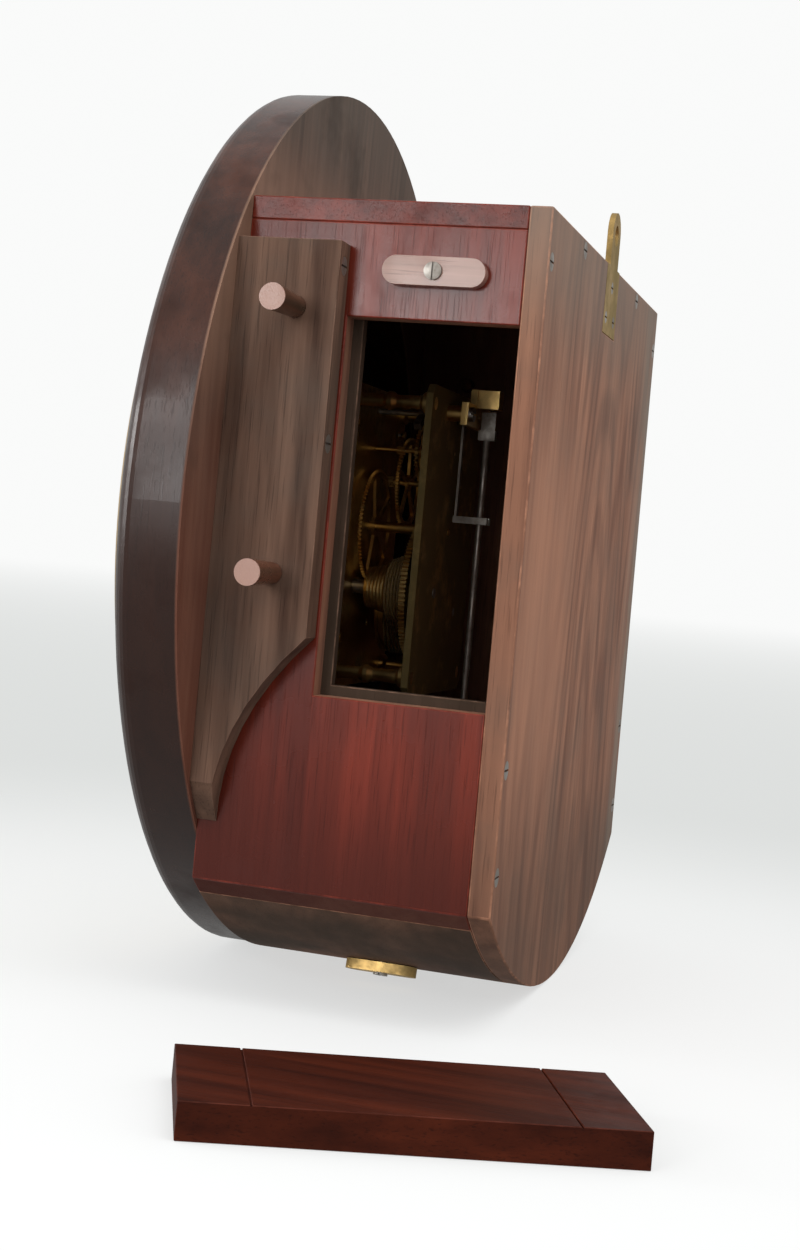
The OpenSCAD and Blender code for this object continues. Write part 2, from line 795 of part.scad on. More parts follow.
// Domed collet that holds the minute hand, with its taper pin
module hand_collet() {
    top = minute_hand_y - hand_t;
    color(brass) placed() difference() {
        front_lathe() polygon([[centre_r + run_gap, -top], [4.2, -top], [3.6, 1 - top],
            [centre_r + run_gap, 1.5 - top]]);
        translate([0, top - 0.8, 0]) rotate([0, 90, 0]) cylinder(h = 20, r = 0.3, center = true);
    }
}

// Toothed outline: n teeth of pitch diameter n * m, thick is the tooth's share of the pitch
function tooth(n, m, i, thick, add, ded, tip) = let (
        r = n * m / 2, half = 180 / n * thick, a = i * 360 / n)
    [polar(r - ded * m, a - half * 1.1), polar(r, a - half), polar(r + add * m, a - half * tip),
     polar(r + add * m, a + half * tip), polar(r, a + half), polar(r - ded * m, a + half * 1.1)];
function teeth(n, m, thick, add, ded, tip) = [for (i = [0:n - 1]) each tooth(n, m, i, thick, add, ded, tip)];

module wheel_outline(n, m) { polygon(teeth(n, m, 0.42, 0.85, 1.2, 0.35)); }
module pinion_outline(n, m) { polygon(teeth(n, m, 0.34, 0.5, 1.25, 0.6)); }

// Angle of a tooth's middle on wheel b that meshes with wheel a in direction dir
function mesh(dir, a_phase, a_n, b_n) = dir + 180 + 180 / b_n + (dir - a_phase) * a_n / b_n;
third_phase = mesh(third_a, 0, centre_teeth, third_leaves);
escape_phase = mesh(escape_a, third_phase, third_teeth, escape_leaves);
great_phase = mesh(fusee_a, 0, centre_leaves, great_teeth);
motion_phase = mesh(45, 0, motion_teeth, motion_teeth);
hour_phase = mesh(225, motion_phase, motion_leaves, hour_teeth);

// A train wheel crossed out to arms
module crossed_wheel(n, m, y, arms, hub) {
    rim = n * m / 2 - 1.2 * m - 2.2;
    slab(y, y + wheel_t) {
        difference() {
            wheel_outline(n, m);
            circle(rim);
        }
        circle(hub);
        for (i = [0:arms - 1]) rotate(i * 360 / arms) translate([0, -1.1]) square([rim + 0.5, 2.2]);
    }
}

module turned(a) { rotate([0, -a, 0]) children(); }

module front_plate() {
    color(brass) placed() difference() {
        slab(plate_y, front_in) plate_outline();
        plate_holes(plate_y, front_in);
        rod(plate_y - 1, front_in + 1, centre_r + 0.4 + run_gap);
        at(pallet_c) rod(plate_y - 1, front_in + 1, pivot_r + run_gap);
        for (c = foot_c) at(c) rod(plate_y - 1, front_in + 1, 2 + run_gap);
        for (c = pillar_c) at(c) rod(plate_y - 1, front_in + 1, 2.5 + run_gap);
        at(motion_c) rod(plate_y - 1, front_in + 1, 1.2 + run_gap);
        at(click_c) rod(plate_y - 1, front_in + 1, 1.5 + run_gap);
    }
}

module plate_outline() {
    c = 4;
    x = plate_w / 2;
    polygon([[-x, c - plate_drop], [c - x, -plate_drop], [x - c, -plate_drop], [x, c - plate_drop],
        [x, plate_top - c], [x - c, plate_top], [c - x, plate_top], [-x, plate_top - c]]);
}

// Holes that both plates have
module plate_holes(y0, y1) {
    at(fusee_c) rod(y0 - 1, y1 + 1, fusee_pivot_r + run_gap);
    at(barrel_c) rod(y0 - 1, y1 + 1, barrel_arbor_r - 0.6 + run_gap);
    at(third_c) rod(y0 - 1, y1 + 1, pivot_r + run_gap);
    at(escape_c) rod(y0 - 1, y1 + 1, pivot_r + run_gap);
}

module back_plate() {
    color(brass) placed() difference() {
        slab(back_in, back_out) plate_outline();
        plate_holes(back_in, back_out);
        rod(back_in - 1, back_out + 1, centre_r + run_gap);
        at(pallet_c) rod(back_in - 1, back_out + 1, 3.5);
        for (c = pillar_c) at(c) rod(back_in - 1, back_out + 1, 2.8 + run_gap);
        for (x = [-cock_x, cock_x])
            translate([x, 0, cock_z]) rod(back_in - 1, back_out + 1, cock_screw[1] + run_gap);
    }
}

module plate_pillars() {
    color(brass) placed() for (c = pillar_c) at(c) difference() {
        union() {
            translate([0, front_in, 0]) rotate([-90, 0, 0]) rotate_extrude() polygon([
                [0, 0], [pillar_r, 0], [pillar_r, 2], [pillar_r - 1.4, 3.5],
                [pillar_r - 1.8, plate_gap / 2 - 3],
                [pillar_r - 0.4, plate_gap / 2 - 1], [pillar_r - 0.4, plate_gap / 2 + 1],
                [pillar_r - 1.8, plate_gap / 2 + 3], [pillar_r - 1.4, plate_gap - 3.5],
                [pillar_r, plate_gap - 2], [pillar_r, plate_gap], [0, plate_gap]]);
            rod(plate_y - 3.6, front_in + 1, 2.5);
            rod(back_in - 1, back_out, 2.8);
        }
        translate([0, plate_y - 1.5, 0]) rotate([0, 90, 0]) cylinder(h = 10, r = 0.7 + run_gap, center = true);
    }
}

module pillar_pins() {
    color(steel) placed() for (c = pillar_c) at(c)
        translate([0, plate_y - 1.5, 0]) rotate([0, 90, 0]) cylinder(h = 10, r = 0.7, center = true);
}

// Going barrel: a drum between two flanges
module barrel() {
    color(brass) placed() at(barrel_c) difference() {
        union() {
            rod(barrel_y0, barrel_y1, barrel_r);
            rod(barrel_y0, barrel_y0 + flange_t, barrel_r + 0.9);
            rod(barrel_y1 - flange_t, barrel_y1, barrel_r + 0.9);
        }
        rod(barrel_y0 - 1, barrel_y1 + 1, barrel_arbor_r + run_gap);
    }
}

ratchet_y = plate_y - 2.2;
click_c = [barrel_c[0] + 13.5, barrel_c[1] - 8];

module barrel_arbor() {
    color(steel) placed() at(barrel_c) {
        rod(front_in + 0.4, back_in - 0.4, barrel_arbor_r);
        rod(ratchet_y - 1.8, front_in + 1, barrel_arbor_r - 0.6);
        rod(back_in - 1, back_out, barrel_arbor_r - 0.6);
        slab(ratchet_y - 6, ratchet_y - 1) square(2.7, center = true);
    }
}

module setup_ratchet() {
    n = 16;
    color(steel) placed() at(barrel_c) slab(ratchet_y, plate_y - move_gap) difference() {
        polygon([for (i = [0:n - 1]) each [polar(7, i * 360 / n), polar(8.6, i * 360 / n + 2)]]);
        circle(barrel_arbor_r - 0.6 + run_gap);
    }
}

// Click of the set-up ratchet, with its screw
module setup_click() {
    dir = atan2(barrel_c[1] - click_c[1], barrel_c[0] - click_c[0]);
    color(steel) placed() {
        at(click_c) slab(ratchet_y, plate_y - move_gap) {
            circle(2.6);
            rotate(dir - 24) translate([0, -1.1]) square([7.2, 2.2]);
        }
        at(click_c) rod(ratchet_y - 1.4, front_in - 0.5, 1.5);
        at(click_c) rod(ratchet_y - 1.4, ratchet_y, 2.4);
    }
}

// The fusee: its radius grows towards the great wheel, and a spiral groove is cut in it
fusee_len = fusee_y1 - fusee_y0;
fusee_pitch = fusee_len / (fusee_turns + 1);
function fusee_land(t) = 1 / ((1 - t) / fusee_small_r + t / fusee_big_r);
module fusee() {
    around = 36;
    rings = 5 * (fusee_turns + 1);
    depth = gut_r * 0.9;
    points = [for (j = [0:rings]) for (i = [0:around - 1]) let (
            t = j / rings, a = i * 360 / around, turn = t * (fusee_turns + 1) - i / around,
            cut = j > 1 && j < rings - 1 ? depth * (0.5 - 0.5 * cos(360 * turn)) : 0,
            r = fusee_land(t) - cut)
        [r * cos(a), fusee_y0 + t * fusee_len, r * sin(a)]];
    sides = [for (j = [0:rings - 1]) for (i = [0:around - 1]) let (
            p = j * around + i, q = j * around + (i + 1) % around)
        each [[p, p + around, q], [q, p + around, q + around]]];
    ends = [[for (i = [0:around - 1]) i], [for (i = [around - 1:-1:0]) rings * around + i]];
    color(brass) placed() at(fusee_c) polyhedron(points, concat(sides, ends));
}

// The gut line, half run down: it leaves the barrel's turns for the fusee's middle and winds to its large end
gut_around = 24;
barrel_turns = 5.5;
gut_turns = 5.5;
gut_clear = move_gap + gut_r;
chord = cos(180 / gut_around);
barrel_wind_r = (barrel_r + gut_clear) / chord;
function fusee_wind_r(t) = (fusee_land(t) + gut_clear) / chord;
gut_span = fusee_c - barrel_c;
gut_a = atan2(gut_span[1], gut_span[0]) - acos((barrel_wind_r - fusee_wind_r(0.5)) / norm(gut_span));
gut_t = (round(fusee_turns / 2) + 0.5 + gut_a / 360) / (fusee_turns + 1);
gut_y = fusee_y0 + gut_t * fusee_len;
gut_end_r = (fusee_big_r + gut_clear) / chord;

// A point of the line round an axis, with the direction away from that axis
function gut_point(c, r, a, y) = let (n = [cos(a), 0, sin(a)]) [[c[0] + r * n[0], y, c[1] + r * n[2]], n];
function on_barrel(turn) = gut_point(barrel_c, barrel_wind_r, gut_a + 360 * turn, gut_y + turn * fusee_pitch);
function on_fusee(turn) = let (
        t = gut_t + turn / (fusee_turns + 1), lift = max(0, 4 * (turn - gut_turns) + 1),
        r = fusee_wind_r(t))
    gut_point(fusee_c, r + lift * (gut_end_r - r), gut_a + 360 * turn, gut_y + turn * fusee_pitch);
function moved_to(p, y) = [[p[0][0], y, p[0][2]], p[1]];

module gut_line() {
    sides = 6;
    step = 1 / gut_around;
    line = concat(
        [moved_to(on_barrel(-barrel_turns), barrel_y0 + flange_t + move_gap)],
        [for (turn = [-barrel_turns:step:0]) on_barrel(turn)],
        [for (turn = [0:step:gut_turns]) on_fusee(turn)],
        [moved_to(on_fusee(gut_turns), fusee_y1 - move_gap)]);
    last = len(line) - 1;
    points = [for (i = [0:last]) let (
            ahead = line[min(i + 1, last)][0] - line[max(i - 1, 0)][0],
            across = cross(ahead, line[i][1]) / norm(cross(ahead, line[i][1])),
            away = cross(across, ahead) / norm(ahead))
        for (k = [0:sides - 1])
            line[i][0] + gut_r * (cos(360 * k / sides) * across + sin(360 * k / sides) * away)];
    walls = [for (i = [0:last - 1]) for (k = [0:sides - 1]) let (
            p = i * sides + k, q = i * sides + (k + 1) % sides)
        each [[p, q, p + sides], [q, q + sides, p + sides]]];
    ends = [[for (k = [sides - 1:-1:0]) k], [for (k = [0:sides - 1]) last * sides + k]];
    far = [for (i = [0:last]) for (j = [i + gut_around / 2:last]) norm(line[i][0] - line[j][0])];
    echo(least_gap_of_the_gut_to_itself = min(far) - 2 * gut_r);
    color([0.62, 0.52, 0.36]) placed() polyhedron(points, concat(walls, ends));
}

module fusee_arbor() {
    color(steel) placed() at(fusee_c) {
        rod(plate_y - 3, front_in + 1, fusee_pivot_r);
        rod(front_in + 0.4, fusee_y0, fusee_pivot_r + 1);
        rod(great_y + 2.4, back_in - 0.4, fusee_pivot_r + 1);
        rod(back_in - 1, back_out + 0.5, fusee_pivot_r);
        slab(dial_front - 1.5, plate_y - 2) square(3, center = true);
    }
}

module great_wheel() {
    color(brass) placed() at(fusee_c) turned(great_phase) slab(fusee_y1, great_y + 2.4) difference() {
        wheel_outline(great_teeth, great_mod);
        for (i = [0:2]) rotate(i * 120) translate([fusee_big_r * 0.6, 0]) circle(2);
    }
}

// Centre arbor with its wheel behind the front plate and its pinion at the great wheel
module centre_wheel() {
    color(brass) placed() {
        crossed_wheel(centre_teeth, centre_mod, centre_y, 5, 5);
        rod(front_in + 0.3, fusee_y1 - 0.8, centre_r + 0.9);
        rod(front_in, back_in, centre_r);
        rod(great_y + 3, back_in - 0.3, centre_r + 0.9);
        rod(minute_hand_y - hand_t - 2.2, front_in + 1, centre_r);
        rod(back_in - 1, back_out + 0.5, centre_r);
        slab(fusee_y1 - 0.6, great_y + 3) pinion_outline(centre_leaves, great_mod);
    }
}

module third_wheel() {
    color(brass) placed() at(third_c) {
        turned(third_phase) {
            slab(centre_y - 1.2, centre_y + wheel_t + 1.2) pinion_outline(third_leaves, centre_mod);
            crossed_wheel(third_teeth, third_mod, third_y, 5, 4);
        }
        rod(front_in + 0.3, centre_y - 1, arbor_r);
        rod(centre_y + wheel_t + 1, back_in - 0.3, arbor_r);
        rod(plate_y, back_out, pivot_r);
    }
}

module escape_wheel() {
    n = escape_teeth;
    rim = escape_r - 3.6;
    color(brass) placed() at(escape_c) {
        slab(escape_y, escape_y + wheel_t) {
            difference() {
                polygon([for (i = [0:n - 1]) let (a = i * 360 / n) each [
                    polar(escape_r - 2.2, a - 3.4), polar(escape_r, a),
                    polar(escape_r - 0.05, a + 1), polar(escape_r - 2.2, a + 2.4)]]);
                circle(rim);
            }
            circle(3);
            for (i = [0:3]) rotate(i * 90) translate([0, -0.7]) square([rim + 0.5, 1.4]);
        }
        turned(escape_phase) slab(third_y - 1.2, third_y + wheel_t + 1.2)
            pinion_outline(escape_leaves, third_mod);
        rod(front_in + 0.3, third_y - 1, arbor_r - 0.2);
        rod(third_y + wheel_t + 1, back_in - 0.3, arbor_r - 0.2);
        rod(plate_y, back_out, pivot_r);
    }
}

// Anchor, its arbor and the crutch with its fork behind the back plate
crutch_len = 46;
module pallets() {
    fork_z = pallet_c[1] - crutch_len;
    arm_y = back_out + 2.5;
    color(steel) placed() {
        slab(escape_y - 1, escape_y + wheel_t + 1) difference() {
            intersection() {
                difference() {
                    translate(escape_c) circle(escape_r + 5);
                    translate(escape_c) circle(escape_r + sin(swing) * escape_r * sqrt(2) + 0.4);
                }
                translate(escape_c) polygon([[0, 0], polar(2 * escape_r, 42), polar(3 * escape_r, 90),
                    polar(2 * escape_r, 138)]);
            }
            translate([-escape_r * 2, escape_c[1] - escape_r]) square([escape_r * 4, escape_r]);
        }
        at(pallet_c) {
            rod(front_in + 0.3, back_out + 4.6, arbor_r);
            rod(plate_y, cock_y + 2.4, pivot_r);
            rod(arm_y - 0.6, arm_y + 1.6, 3);
            rod(escape_y - 1.6, escape_y + wheel_t + 1.6, 3);
        }
        box([-1.5, arm_y, fork_z], [1.5, arm_y + 1, pallet_c[1]]);
        difference() {
            box([-4, arm_y, fork_z - 1.5], [4, pendulum_y + 4, fork_z + 1.5]);
            box([-rod_r - 0.4, pendulum_y - rod_r - 2, fork_z - 2], [rod_r + 0.4, pendulum_y + 5, fork_z + 2]);
        }
    }
}

// Motion work in front of the front plate
module cannon_wheel() {
    color(brass) placed() difference() {
        union() {
            slab(motion_y, motion_y + wheel_t) wheel_outline(motion_teeth, motion_mod);
            rod(minute_hand_y - hand_t, plate_y - 0.4, cannon_r);
        }
        rod(minute_hand_y - 5, plate_y + 1, centre_r + run_gap / 2);
    }
}

module minute_wheel() {
    color(brass) placed() at(motion_c) difference() {
        union() {
            turned(motion_phase) {
                slab(motion_y, motion_y + wheel_t) wheel_outline(motion_teeth, motion_mod);
                slab(hour_y - 1, motion_y) pinion_outline(motion_leaves, hour_mod);
            }
            rod(motion_y, plate_y - move_gap, 2.4);
            rod(hour_y - 1, plate_y + plate_t, 0.75);
            rod(plate_y - 1, front_in, 1.2);
        }
    }
}

module hour_wheel() {
    color(brass) placed() difference() {
        union() {
            turned(hour_phase) slab(hour_y, hour_y + wheel_t) wheel_outline(hour_teeth, hour_mod);
            rod(hour_hand_y - hand_t, hour_y + wheel_t + 1, pipe_r);
        }
        rod(hour_hand_y - 5, plate_y + 1, cannon_r + run_gap);
    }
}

// Back cock: a bridge on two legs, with the suspension block behind it
cock_x = 18;
cock_z = pallet_c[1];
cock_y = back_out + 6.5;
cock_t = 3;
module back_cock() {
    color(brass) placed() difference() {
        union() {
            box([-cock_x - 4, cock_y, cock_z - 5], [cock_x + 4, cock_y + cock_t, cock_z + 5]);
            for (s = [-1, 1]) translate([s * cock_x, 0, cock_z]) rod(back_out, cock_y + 1, 3.6);
            box([-6, cock_y, cock_z + 2], [6, cock_y + cock_t, cock_z + 12]);
            box([-4.5, cock_y, cock_z + 4], [4.5, pendulum_y + 5, cock_z + 12]);
        }
        at(pallet_c) rod(cock_y - 1, cock_y + cock_t + 1, pivot_r + run_gap);
        box([-0.35, pendulum_y - 3.6, cock_z + 3], [0.35, pendulum_y + 3.6, cock_z + 10]);
        for (s = [-1, 1]) translate([s * cock_x, 0, cock_z]) rod(back_in, cock_y + 5, cock_screw[1] + run_gap);
    }
}

module cock_screws() {
    head_y = cock_y + cock_t + cock_screw[2];
    color(steel) placed() for (s = [-1, 1]) translate([s * cock_x, head_y, cock_z])
        rotate([-90, 0, 0]) screw([each cock_screw, head_y - back_in]);
}

// Suspension spring, its block and the rod, which hang from the cock's slot and swing about the arbor's line
module pendulum_rod() {
    bob_z = cock_z - pendulum_len;
    color(steel) placed() translate([0, pendulum_y, 0]) {
        box([-0.1, -3.2, cock_z - 6], [0.1, 3.2, cock_z + 2.6]);
        box([-1.6, -3.8, cock_z - 10], [1.6, 3.8, cock_z - 5.5]);
        translate([0, 0, bob_z - bob_r - rod_tail])
            cylinder(h = pendulum_len + bob_r + rod_tail - 9, r = rod_r);
    }
}

// A lens between two spheres, drilled for the rod
module pendulum_bob() {
    edge_t = 3.6;
    dome = (bob_t - edge_t) / 2;
    dome_r = (bob_r * bob_r + dome * dome) / (2 * dome);
    color(brass) placed() translate([0, pendulum_y, cock_z - pendulum_len])
        difference() {
        intersection() {
            rod(-bob_t, bob_t, bob_r);
            translate([0, dome_r - bob_t / 2, 0]) sphere(dome_r, $fn = 160);
            translate([0, bob_t / 2 - dome_r, 0]) sphere(dome_r, $fn = 160);
        }
        cylinder(h = 3 * bob_r, r = rod_r + run_gap, center = true);
    }
}

module rating_nut() {
    nut_z = cock_z - pendulum_len - bob_r - move_gap - 3;
    color(brass) placed() translate([0, pendulum_y, nut_z]) difference() {
        union() {
            cylinder(h = 2, r = nut_r);
            cylinder(h = 3, r = nut_r - 2);
        }
        translate([0, 0, -1]) cylinder(h = 5, r = rod_r + run_gap);
    }
}

dial_surround();
cheek_right();
cheek_left();
cheek_screws();
box_side_right();
box_side_left();
box_top();
box_bottom();
back_board();
back_screws();
hanging_plate();
hanging_screws();
door_stops();
side_door();
side_button();
side_button_screw();
bottom_door();
bottom_hinge_fixed();
bottom_hinge_moving();
bottom_button();
bottom_button_screw();
peg_upper_right();
peg_lower_right();
peg_upper_left();
peg_lower_left();
dial_plate();
dial_screws();
dial_feet();
foot_pins();
bezel_ring();
bezel_glass();
bezel_hinge();
bezel_catch();
minute_hand();
hour_hand();
hand_collet();
front_plate();
back_plate();
plate_pillars();
pillar_pins();
barrel();
barrel_arbor();
setup_ratchet();
setup_click();
gut_line();
fusee();
fusee_arbor();
great_wheel();
centre_wheel();
third_wheel();
escape_wheel();
pallets();
cannon_wheel();
minute_wheel();
hour_wheel();
back_cock();
cock_screws();
pendulum_rod();
pendulum_bob();
rating_nut();
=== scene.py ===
"""Gallery clock: the finishes, the painted dial and the stage around the clock's fixed frame."""
import json
import math

import bmesh
import bpy
from bpy.props import FloatProperty, FloatVectorProperty, PointerProperty
from mathutils import Matrix, Vector

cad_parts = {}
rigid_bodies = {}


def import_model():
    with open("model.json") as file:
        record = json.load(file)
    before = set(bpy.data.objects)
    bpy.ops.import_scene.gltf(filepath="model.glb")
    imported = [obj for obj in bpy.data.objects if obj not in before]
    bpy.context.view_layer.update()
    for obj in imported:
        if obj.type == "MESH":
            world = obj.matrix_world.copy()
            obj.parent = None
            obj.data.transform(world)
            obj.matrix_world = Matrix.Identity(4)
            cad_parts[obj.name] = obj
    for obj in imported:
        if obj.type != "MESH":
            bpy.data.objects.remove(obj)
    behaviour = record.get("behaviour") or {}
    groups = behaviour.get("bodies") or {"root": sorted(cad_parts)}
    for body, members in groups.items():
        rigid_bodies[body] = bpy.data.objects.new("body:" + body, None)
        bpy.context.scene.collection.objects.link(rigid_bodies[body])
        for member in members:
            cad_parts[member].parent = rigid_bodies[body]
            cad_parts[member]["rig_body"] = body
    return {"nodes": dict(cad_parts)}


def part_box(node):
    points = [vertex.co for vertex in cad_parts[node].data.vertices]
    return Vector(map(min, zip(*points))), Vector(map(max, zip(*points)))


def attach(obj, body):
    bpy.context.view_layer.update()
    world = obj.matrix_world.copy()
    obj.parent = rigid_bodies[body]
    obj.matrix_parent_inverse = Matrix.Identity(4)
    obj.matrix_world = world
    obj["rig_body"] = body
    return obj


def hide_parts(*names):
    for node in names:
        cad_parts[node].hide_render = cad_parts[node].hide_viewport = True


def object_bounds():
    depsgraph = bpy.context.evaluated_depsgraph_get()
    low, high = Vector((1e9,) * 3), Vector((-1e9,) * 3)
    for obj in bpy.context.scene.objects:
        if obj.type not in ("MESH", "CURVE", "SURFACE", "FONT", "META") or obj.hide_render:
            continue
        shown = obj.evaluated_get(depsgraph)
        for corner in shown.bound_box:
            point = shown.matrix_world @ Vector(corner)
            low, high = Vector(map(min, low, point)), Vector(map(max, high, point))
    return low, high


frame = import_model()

bl_info = {
    "name": "Gallery clock",
    "version": (1, 0, 0),
    "blender": (4, 5, 0),
    "location": "View3D > Sidebar > Clock",
    "description": "Finishes and stages an English round dial clock with a pegged box",
    "category": "Object",
}

NODES = frame["nodes"]
CAD_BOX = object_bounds()
MM = 0.001
X, Y, Z = range(3)

# Places in the frame that pieces and patterns are worked out from
DIAL_LOW, DIAL_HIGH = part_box("dial_plate")
DIAL_X = (DIAL_LOW.x + DIAL_HIGH.x) / 2
DIAL_Z = (DIAL_LOW.z + DIAL_HIGH.z) / 2
DIAL_FACE = DIAL_LOW.y
SURROUND_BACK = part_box("dial_surround")[1].y
SIDE_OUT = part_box("box_side_right")[1].x
BOX_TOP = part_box("box_top")[1].z
PEG_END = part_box("peg_upper_right")[1].x
FLOOR_Z = CAD_BOX[0][2]

# How the edges of the boards are rubbed round
WELD = 0.005 * MM
FLAT_TURN = math.radians(0.5)
CORNER_TURN = math.radians(35)
SHARP_TURN = math.radians(32)

# Patterns in wood: their waves in a metre across the grain and along it
FIGURE = (30, 2.2)
STREAK = (150, 6)
PORE = (1500, 45)
LAYER = (8, 0.8)
RINGS_IN_LAYER = 210

# The hour figures: a letter's parts and their places as shares of its height
HOURS = ("XII", "I", "II", "III", "IIII", "V", "VI", "VII", "VIII", "IX", "X", "XI")
LETTER_WIDTH = {"I": 0.30, "V": 0.72, "X": 0.74}
HEAVY = 0.135
LIGHT = 0.045
SERIF = 0.035
SERIF_WIDTH = {"I": 0.26, "V": 0.22, "X": 0.22}
V_LEAN = 0.26
V_THIN_STROKE = 0.15
V_SERIFS = (-0.27, 0.28)
X_LEAN = 0.44

# The minute track
TRACK_LINE = 0.6 * MM
MINUTE_BAR = 0.7 * MM
FIVE_MINUTE_BAR = 2.4 * MM

# Each lamp's place from the middle of the surround's back, its width and its height, in metres
LAMPS = {
    "front_window": ((0.40, -1.30, 0.20), 0.46, 0.50),
    "side_window": ((1.30, -0.52, 0.56), 0.34, 0.26),
    "side_strip": ((1.57, -0.335, 0.175), 0.36, 0.28),
    "ceiling": ((0.5, 0.5, 1.3), 0.9, 0.9),
}


class Wire:
    """A node's output socket that takes part in arithmetic by adding Math nodes."""

    def __init__(self, graph, socket):
        self.graph = graph
        self.socket = socket

    def math(self, operation, *values):
        inputs = dict(enumerate([self, *values]))
        return self.graph.out("ShaderNodeMath", 0, {"operation": operation}, inputs)

    def __add__(self, other):
        return self.math("ADD", other)

    __radd__ = __add__

    def __mul__(self, other):
        return self.math("MULTIPLY", other)

    __rmul__ = __mul__

    def __sub__(self, other):
        return self.math("SUBTRACT", other)

    def __rsub__(self, other):
        return (self * -1) + other

    def __pow__(self, other):
        return self.math("POWER", other)

    def __abs__(self):
        return self.math("ABSOLUTE")

    def least(self, other):
        return self.math("MINIMUM", other)

    def most(self, other):
        return self.math("MAXIMUM", other)

    def rises(self, low, high):
        """Goes smoothly from 0 at low to 1 at high."""
        inputs = {"Value": self, "From Min": low, "From Max": high}
        return self.graph.out("ShaderNodeMapRange", 0, {"interpolation_type": "SMOOTHSTEP"}, inputs)

    def falls(self, low, high):
        """Goes smoothly from 1 at low to 0 at high."""
        return 1 - self.rises(low, high)


class Graph:
    """A node tree that adds any node and links or sets its inputs."""

    def __init__(self, tree):
        self.tree = tree
        self.tree.nodes.clear()

    def add(self, kind, settings=None, inputs=None):
        node = self.tree.nodes.new(kind)
        for name, value in (settings or {}).items():
            if name == "stops":
                self.set_stops(node.color_ramp.elements, value)
            else:
                setattr(node, name, value)
        for name, value in (inputs or {}).items():
            if isinstance(value, Wire):
                self.tree.links.new(value.socket, node.inputs[name])
            else:
                node.inputs[name].default_value = value
        return node

    @staticmethod
    def set_stops(elements, stops):
        while len(elements) < len(stops):
            elements.new(0.5)
        for element, (place, tone) in zip(elements, stops):
            element.position = place
            element.color = rgba(tone)

    def out(self, kind, output, settings=None, inputs=None):
        return Wire(self, self.add(kind, settings, inputs).outputs[output])

    def tint(self, amount, first, second):
        """A colour that goes from first to second with amount."""
        inputs = {0: amount, 6: rgba(first), 7: rgba(second)}
        return self.out("ShaderNodeMix", 2, {"data_type": "RGBA"}, inputs)

    def steps(self, amount, *stops):
        return self.out("ShaderNodeValToRGB", 0, {"stops": stops}, {0: amount})

    def mix(self, share, first, second):
        """A shader that goes from first to second with share."""
        return self.out("ShaderNodeMixShader", 0, None, {0: share, 1: first, 2: second})


def rgba(tone):
    return tone if isinstance(tone, Wire) else (*tone[:3], 1)


def scaled(tone, factor):
    return [c * factor for c in tone]


def between(share, first, second):
    """A value on the way from first to second, as far as share says."""
    return (second - first) * share + first


class Finish(Graph):
    """A material on Object coordinates, which are the frame's own, in metres."""

    def __init__(self, name):
        self.material = bpy.data.materials.new(name)
        self.material.use_nodes = True
        super().__init__(self.material.node_tree)
        self.place = self.out("ShaderNodeTexCoord", "Object")
        split = self.add("ShaderNodeSeparateXYZ", None, {0: self.place})
        self.x, self.y, self.z = (Wire(self, socket) for socket in split.outputs)

    def stretched(self, across, along, axis):
        """Coordinates in which a pattern runs long along one axis."""
        scale = [across] * 3
        scale[axis] = along
        inputs = {0: self.place, 1: scale}
        return self.out("ShaderNodeVectorMath", 0, {"operation": "MULTIPLY"}, inputs)

    def noise(self, where, scale=1.0, detail=2.0, rough=0.5, bend=0.0):
        inputs = {"Vector": where, "Scale": scale, "Detail": detail, "Roughness": rough,
                  "Distortion": bend}
        return self.out("ShaderNodeTexNoise", 0, None, inputs)

    def patches(self, scale, low, high, detail=4, rough=0.6):
        """Patches some 1 / scale metres wide: 0 where the noise is under low, 1 over high."""
        return self.noise(self.place, scale, detail, rough).rises(low, high)

    def bump(self, height, depth, strength=1.0):
        inputs = {"Height": height, "Distance": depth, "Strength": strength}
        return self.out("ShaderNodeBump", 0, None, inputs)

    def surface(self, tone, rough, metal=0.0, normal=None, **more):
        """Ends the material in a Principled shader; more has sockets with _ for each space."""
        inputs = {"Base Color": rgba(tone), "Roughness": rough, "Metallic": metal}
        inputs.update({name.replace("_", " "): value for name, value in more.items()})
        if normal is not None:
            inputs["Normal"] = normal
        return self.end(self.out("ShaderNodeBsdfPrincipled", 0, None, inputs))

    def end(self, shader):
        self.add("ShaderNodeOutputMaterial", None, {0: shader})
        return self.material


# Settings


def colour_setting(name, description, default):
    return FloatVectorProperty(name=name, description=description, subtype="COLOR", default=default)


def length_setting(name, description, default):
    return FloatProperty(name=name, description=description, subtype="DISTANCE", unit="LENGTH",
                         default=default)


def power_setting(name, description, default):
    return FloatProperty(name=name, description=description, unit="POWER", default=default)


